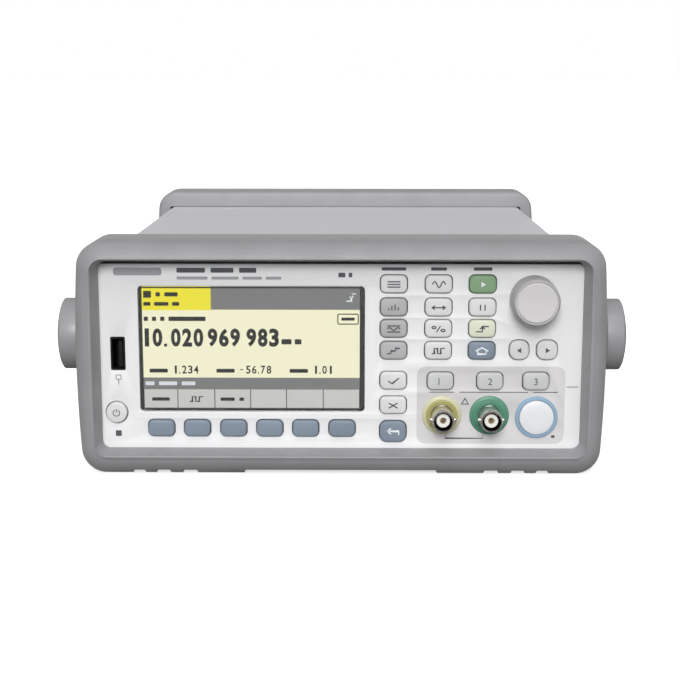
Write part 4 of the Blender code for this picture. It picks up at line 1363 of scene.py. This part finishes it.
NODE_FINISHES = {
    "steel": ("chassis_tray", "rear_panel", "input_shield", "encoder", "lan_port", "usb_device_port"),
    "black": ("display_module", "fan_frame", "fan_rotor", "power_inlet", "fuse_drawer"),
    "board": ("front_board", "main_board", "power_supply"),
    # The membrane's dark grey is painted shade in the key gaps.
    "membrane": ("keypad_membrane",),
    "port": ("usb_host_port",),
}


def finish_nodes():
    for finish, nodes in NODE_FINISHES.items():
        for node in nodes:
            mesh = frame["nodes"][node].data
            mesh.materials.clear()
            mesh.materials.append(MATERIALS[finish])


# Stage

CAMERA_AT = Vector((0.0063, -0.7476, 0.1729))
CAMERA_DOWN = 10.62  # degrees, like the turns and heights below
CAMERA_LEFT = 0.62
LENS = 75.35
FLOOR_SIZE = 40.0
FLOOR_DROP = 0.0002
FLOOR_GLOW = 0.6
# Brightness of the surroundings, from straight down at 0 through the horizon at 0.5 to straight up at 1
SKY, BELOW = 0.3, 0.15
WORLD_STOPS = ((0.47, BELOW), (0.495, 1.0), (0.53, 1.0), (0.58, SKY))
# Name, power, spread, height above the horizon and turn of each softbox. A negative turn lights from the left
SOFTBOXES = (("front_softbox", 2.25, 22.0, 25.0, -4.0), ("top_softbox", 0.75, 40.0, 60.0, 4.0))


def build_floor():
    """A plain pale floor. It glows for the camera only and throws no light on the object."""
    mesh = bpy.data.meshes.new("floor")
    bm = bmesh.new()
    bmesh.ops.create_grid(bm, x_segments=1, y_segments=1, size=FLOOR_SIZE)
    bm.to_mesh(mesh)
    bm.free()
    floor = bpy.data.objects.new("floor", mesh)
    floor.location.z = -FLOOR_DROP
    bpy.context.scene.collection.objects.link(floor)
    paper = Surface("paper", (0.85, 0.85, 0.85), 0.9, specular=0.0)
    paper.set("Emission Color", (1, 1, 1, 1))
    paper.set("Emission Strength", FLOOR_GLOW)
    mesh.materials.append(paper.material)
    floor.visible_diffuse = False
    floor.visible_glossy = False


def build_world():
    """Surroundings that are brightest at the horizon."""
    world = bpy.data.worlds.new("studio")
    world.use_nodes = True
    nodes, links = world.node_tree.nodes, world.node_tree.links
    place = nodes.new("ShaderNodeTexCoord")
    split = nodes.new("ShaderNodeSeparateXYZ")
    height = nodes.new("ShaderNodeMapRange")
    height.inputs["From Min"].default_value = -1.0
    ramp = nodes.new("ShaderNodeValToRGB")
    stops = ramp.color_ramp.elements
    for at, level in WORLD_STOPS:
        stops.new(at).color = (level, level, level, 1.0)
    stops[0].color = (BELOW, BELOW, BELOW, 1.0)
    stops[-1].color = (SKY, SKY, SKY, 1.0)
    links.new(place.outputs["Generated"], split.inputs["Vector"])
    links.new(split.outputs["Z"], height.inputs["Value"])
    links.new(height.outputs["Result"], ramp.inputs["Fac"])
    links.new(ramp.outputs["Color"], nodes["Background"].inputs["Color"])
    bpy.context.scene.world = world


def aimed(obj, down, turn):
    """Tilts a camera or a lamp down from the horizon and turns it left, and links it."""
    obj.rotation_euler = (math.radians(90 - down), 0, math.radians(turn))
    bpy.context.scene.collection.objects.link(obj)


def build_stage():
    scene = bpy.context.scene
    scene.view_settings.view_transform = "Standard"
    build_floor()
    build_world()
    for name, power, spread, rise, turn in SOFTBOXES:
        sun = bpy.data.lights.new(name, "SUN")
        sun.energy = power
        sun.angle = math.radians(spread)
        aimed(bpy.data.objects.new(name, sun), rise, turn)
    camera = bpy.data.objects.new("camera", bpy.data.cameras.new("camera"))
    camera.data.lens = LENS
    camera.data.sensor_width = 36.0
    camera.data.clip_start = 0.01
    camera.location = CAMERA_AT
    aimed(camera, CAMERA_DOWN, CAMERA_LEFT)
    scene.camera = camera


build_bumpers()
build_sleeve()
build_bezel()
build_display()
for key in KEYS:
    build_key(key)
build_legends()
build_knob()
build_inputs()
for jack in REAR_JACKS:
    build_bnc(jack, REAR_FACE, 1)
build_usb_host()
build_lan()
build_usb_device()
build_inlet_blades()
build_fuse_tab()
build_rear_screws()
build_rear_legends()
build_rating_label()
build_handle()
finish_nodes()
build_stage()
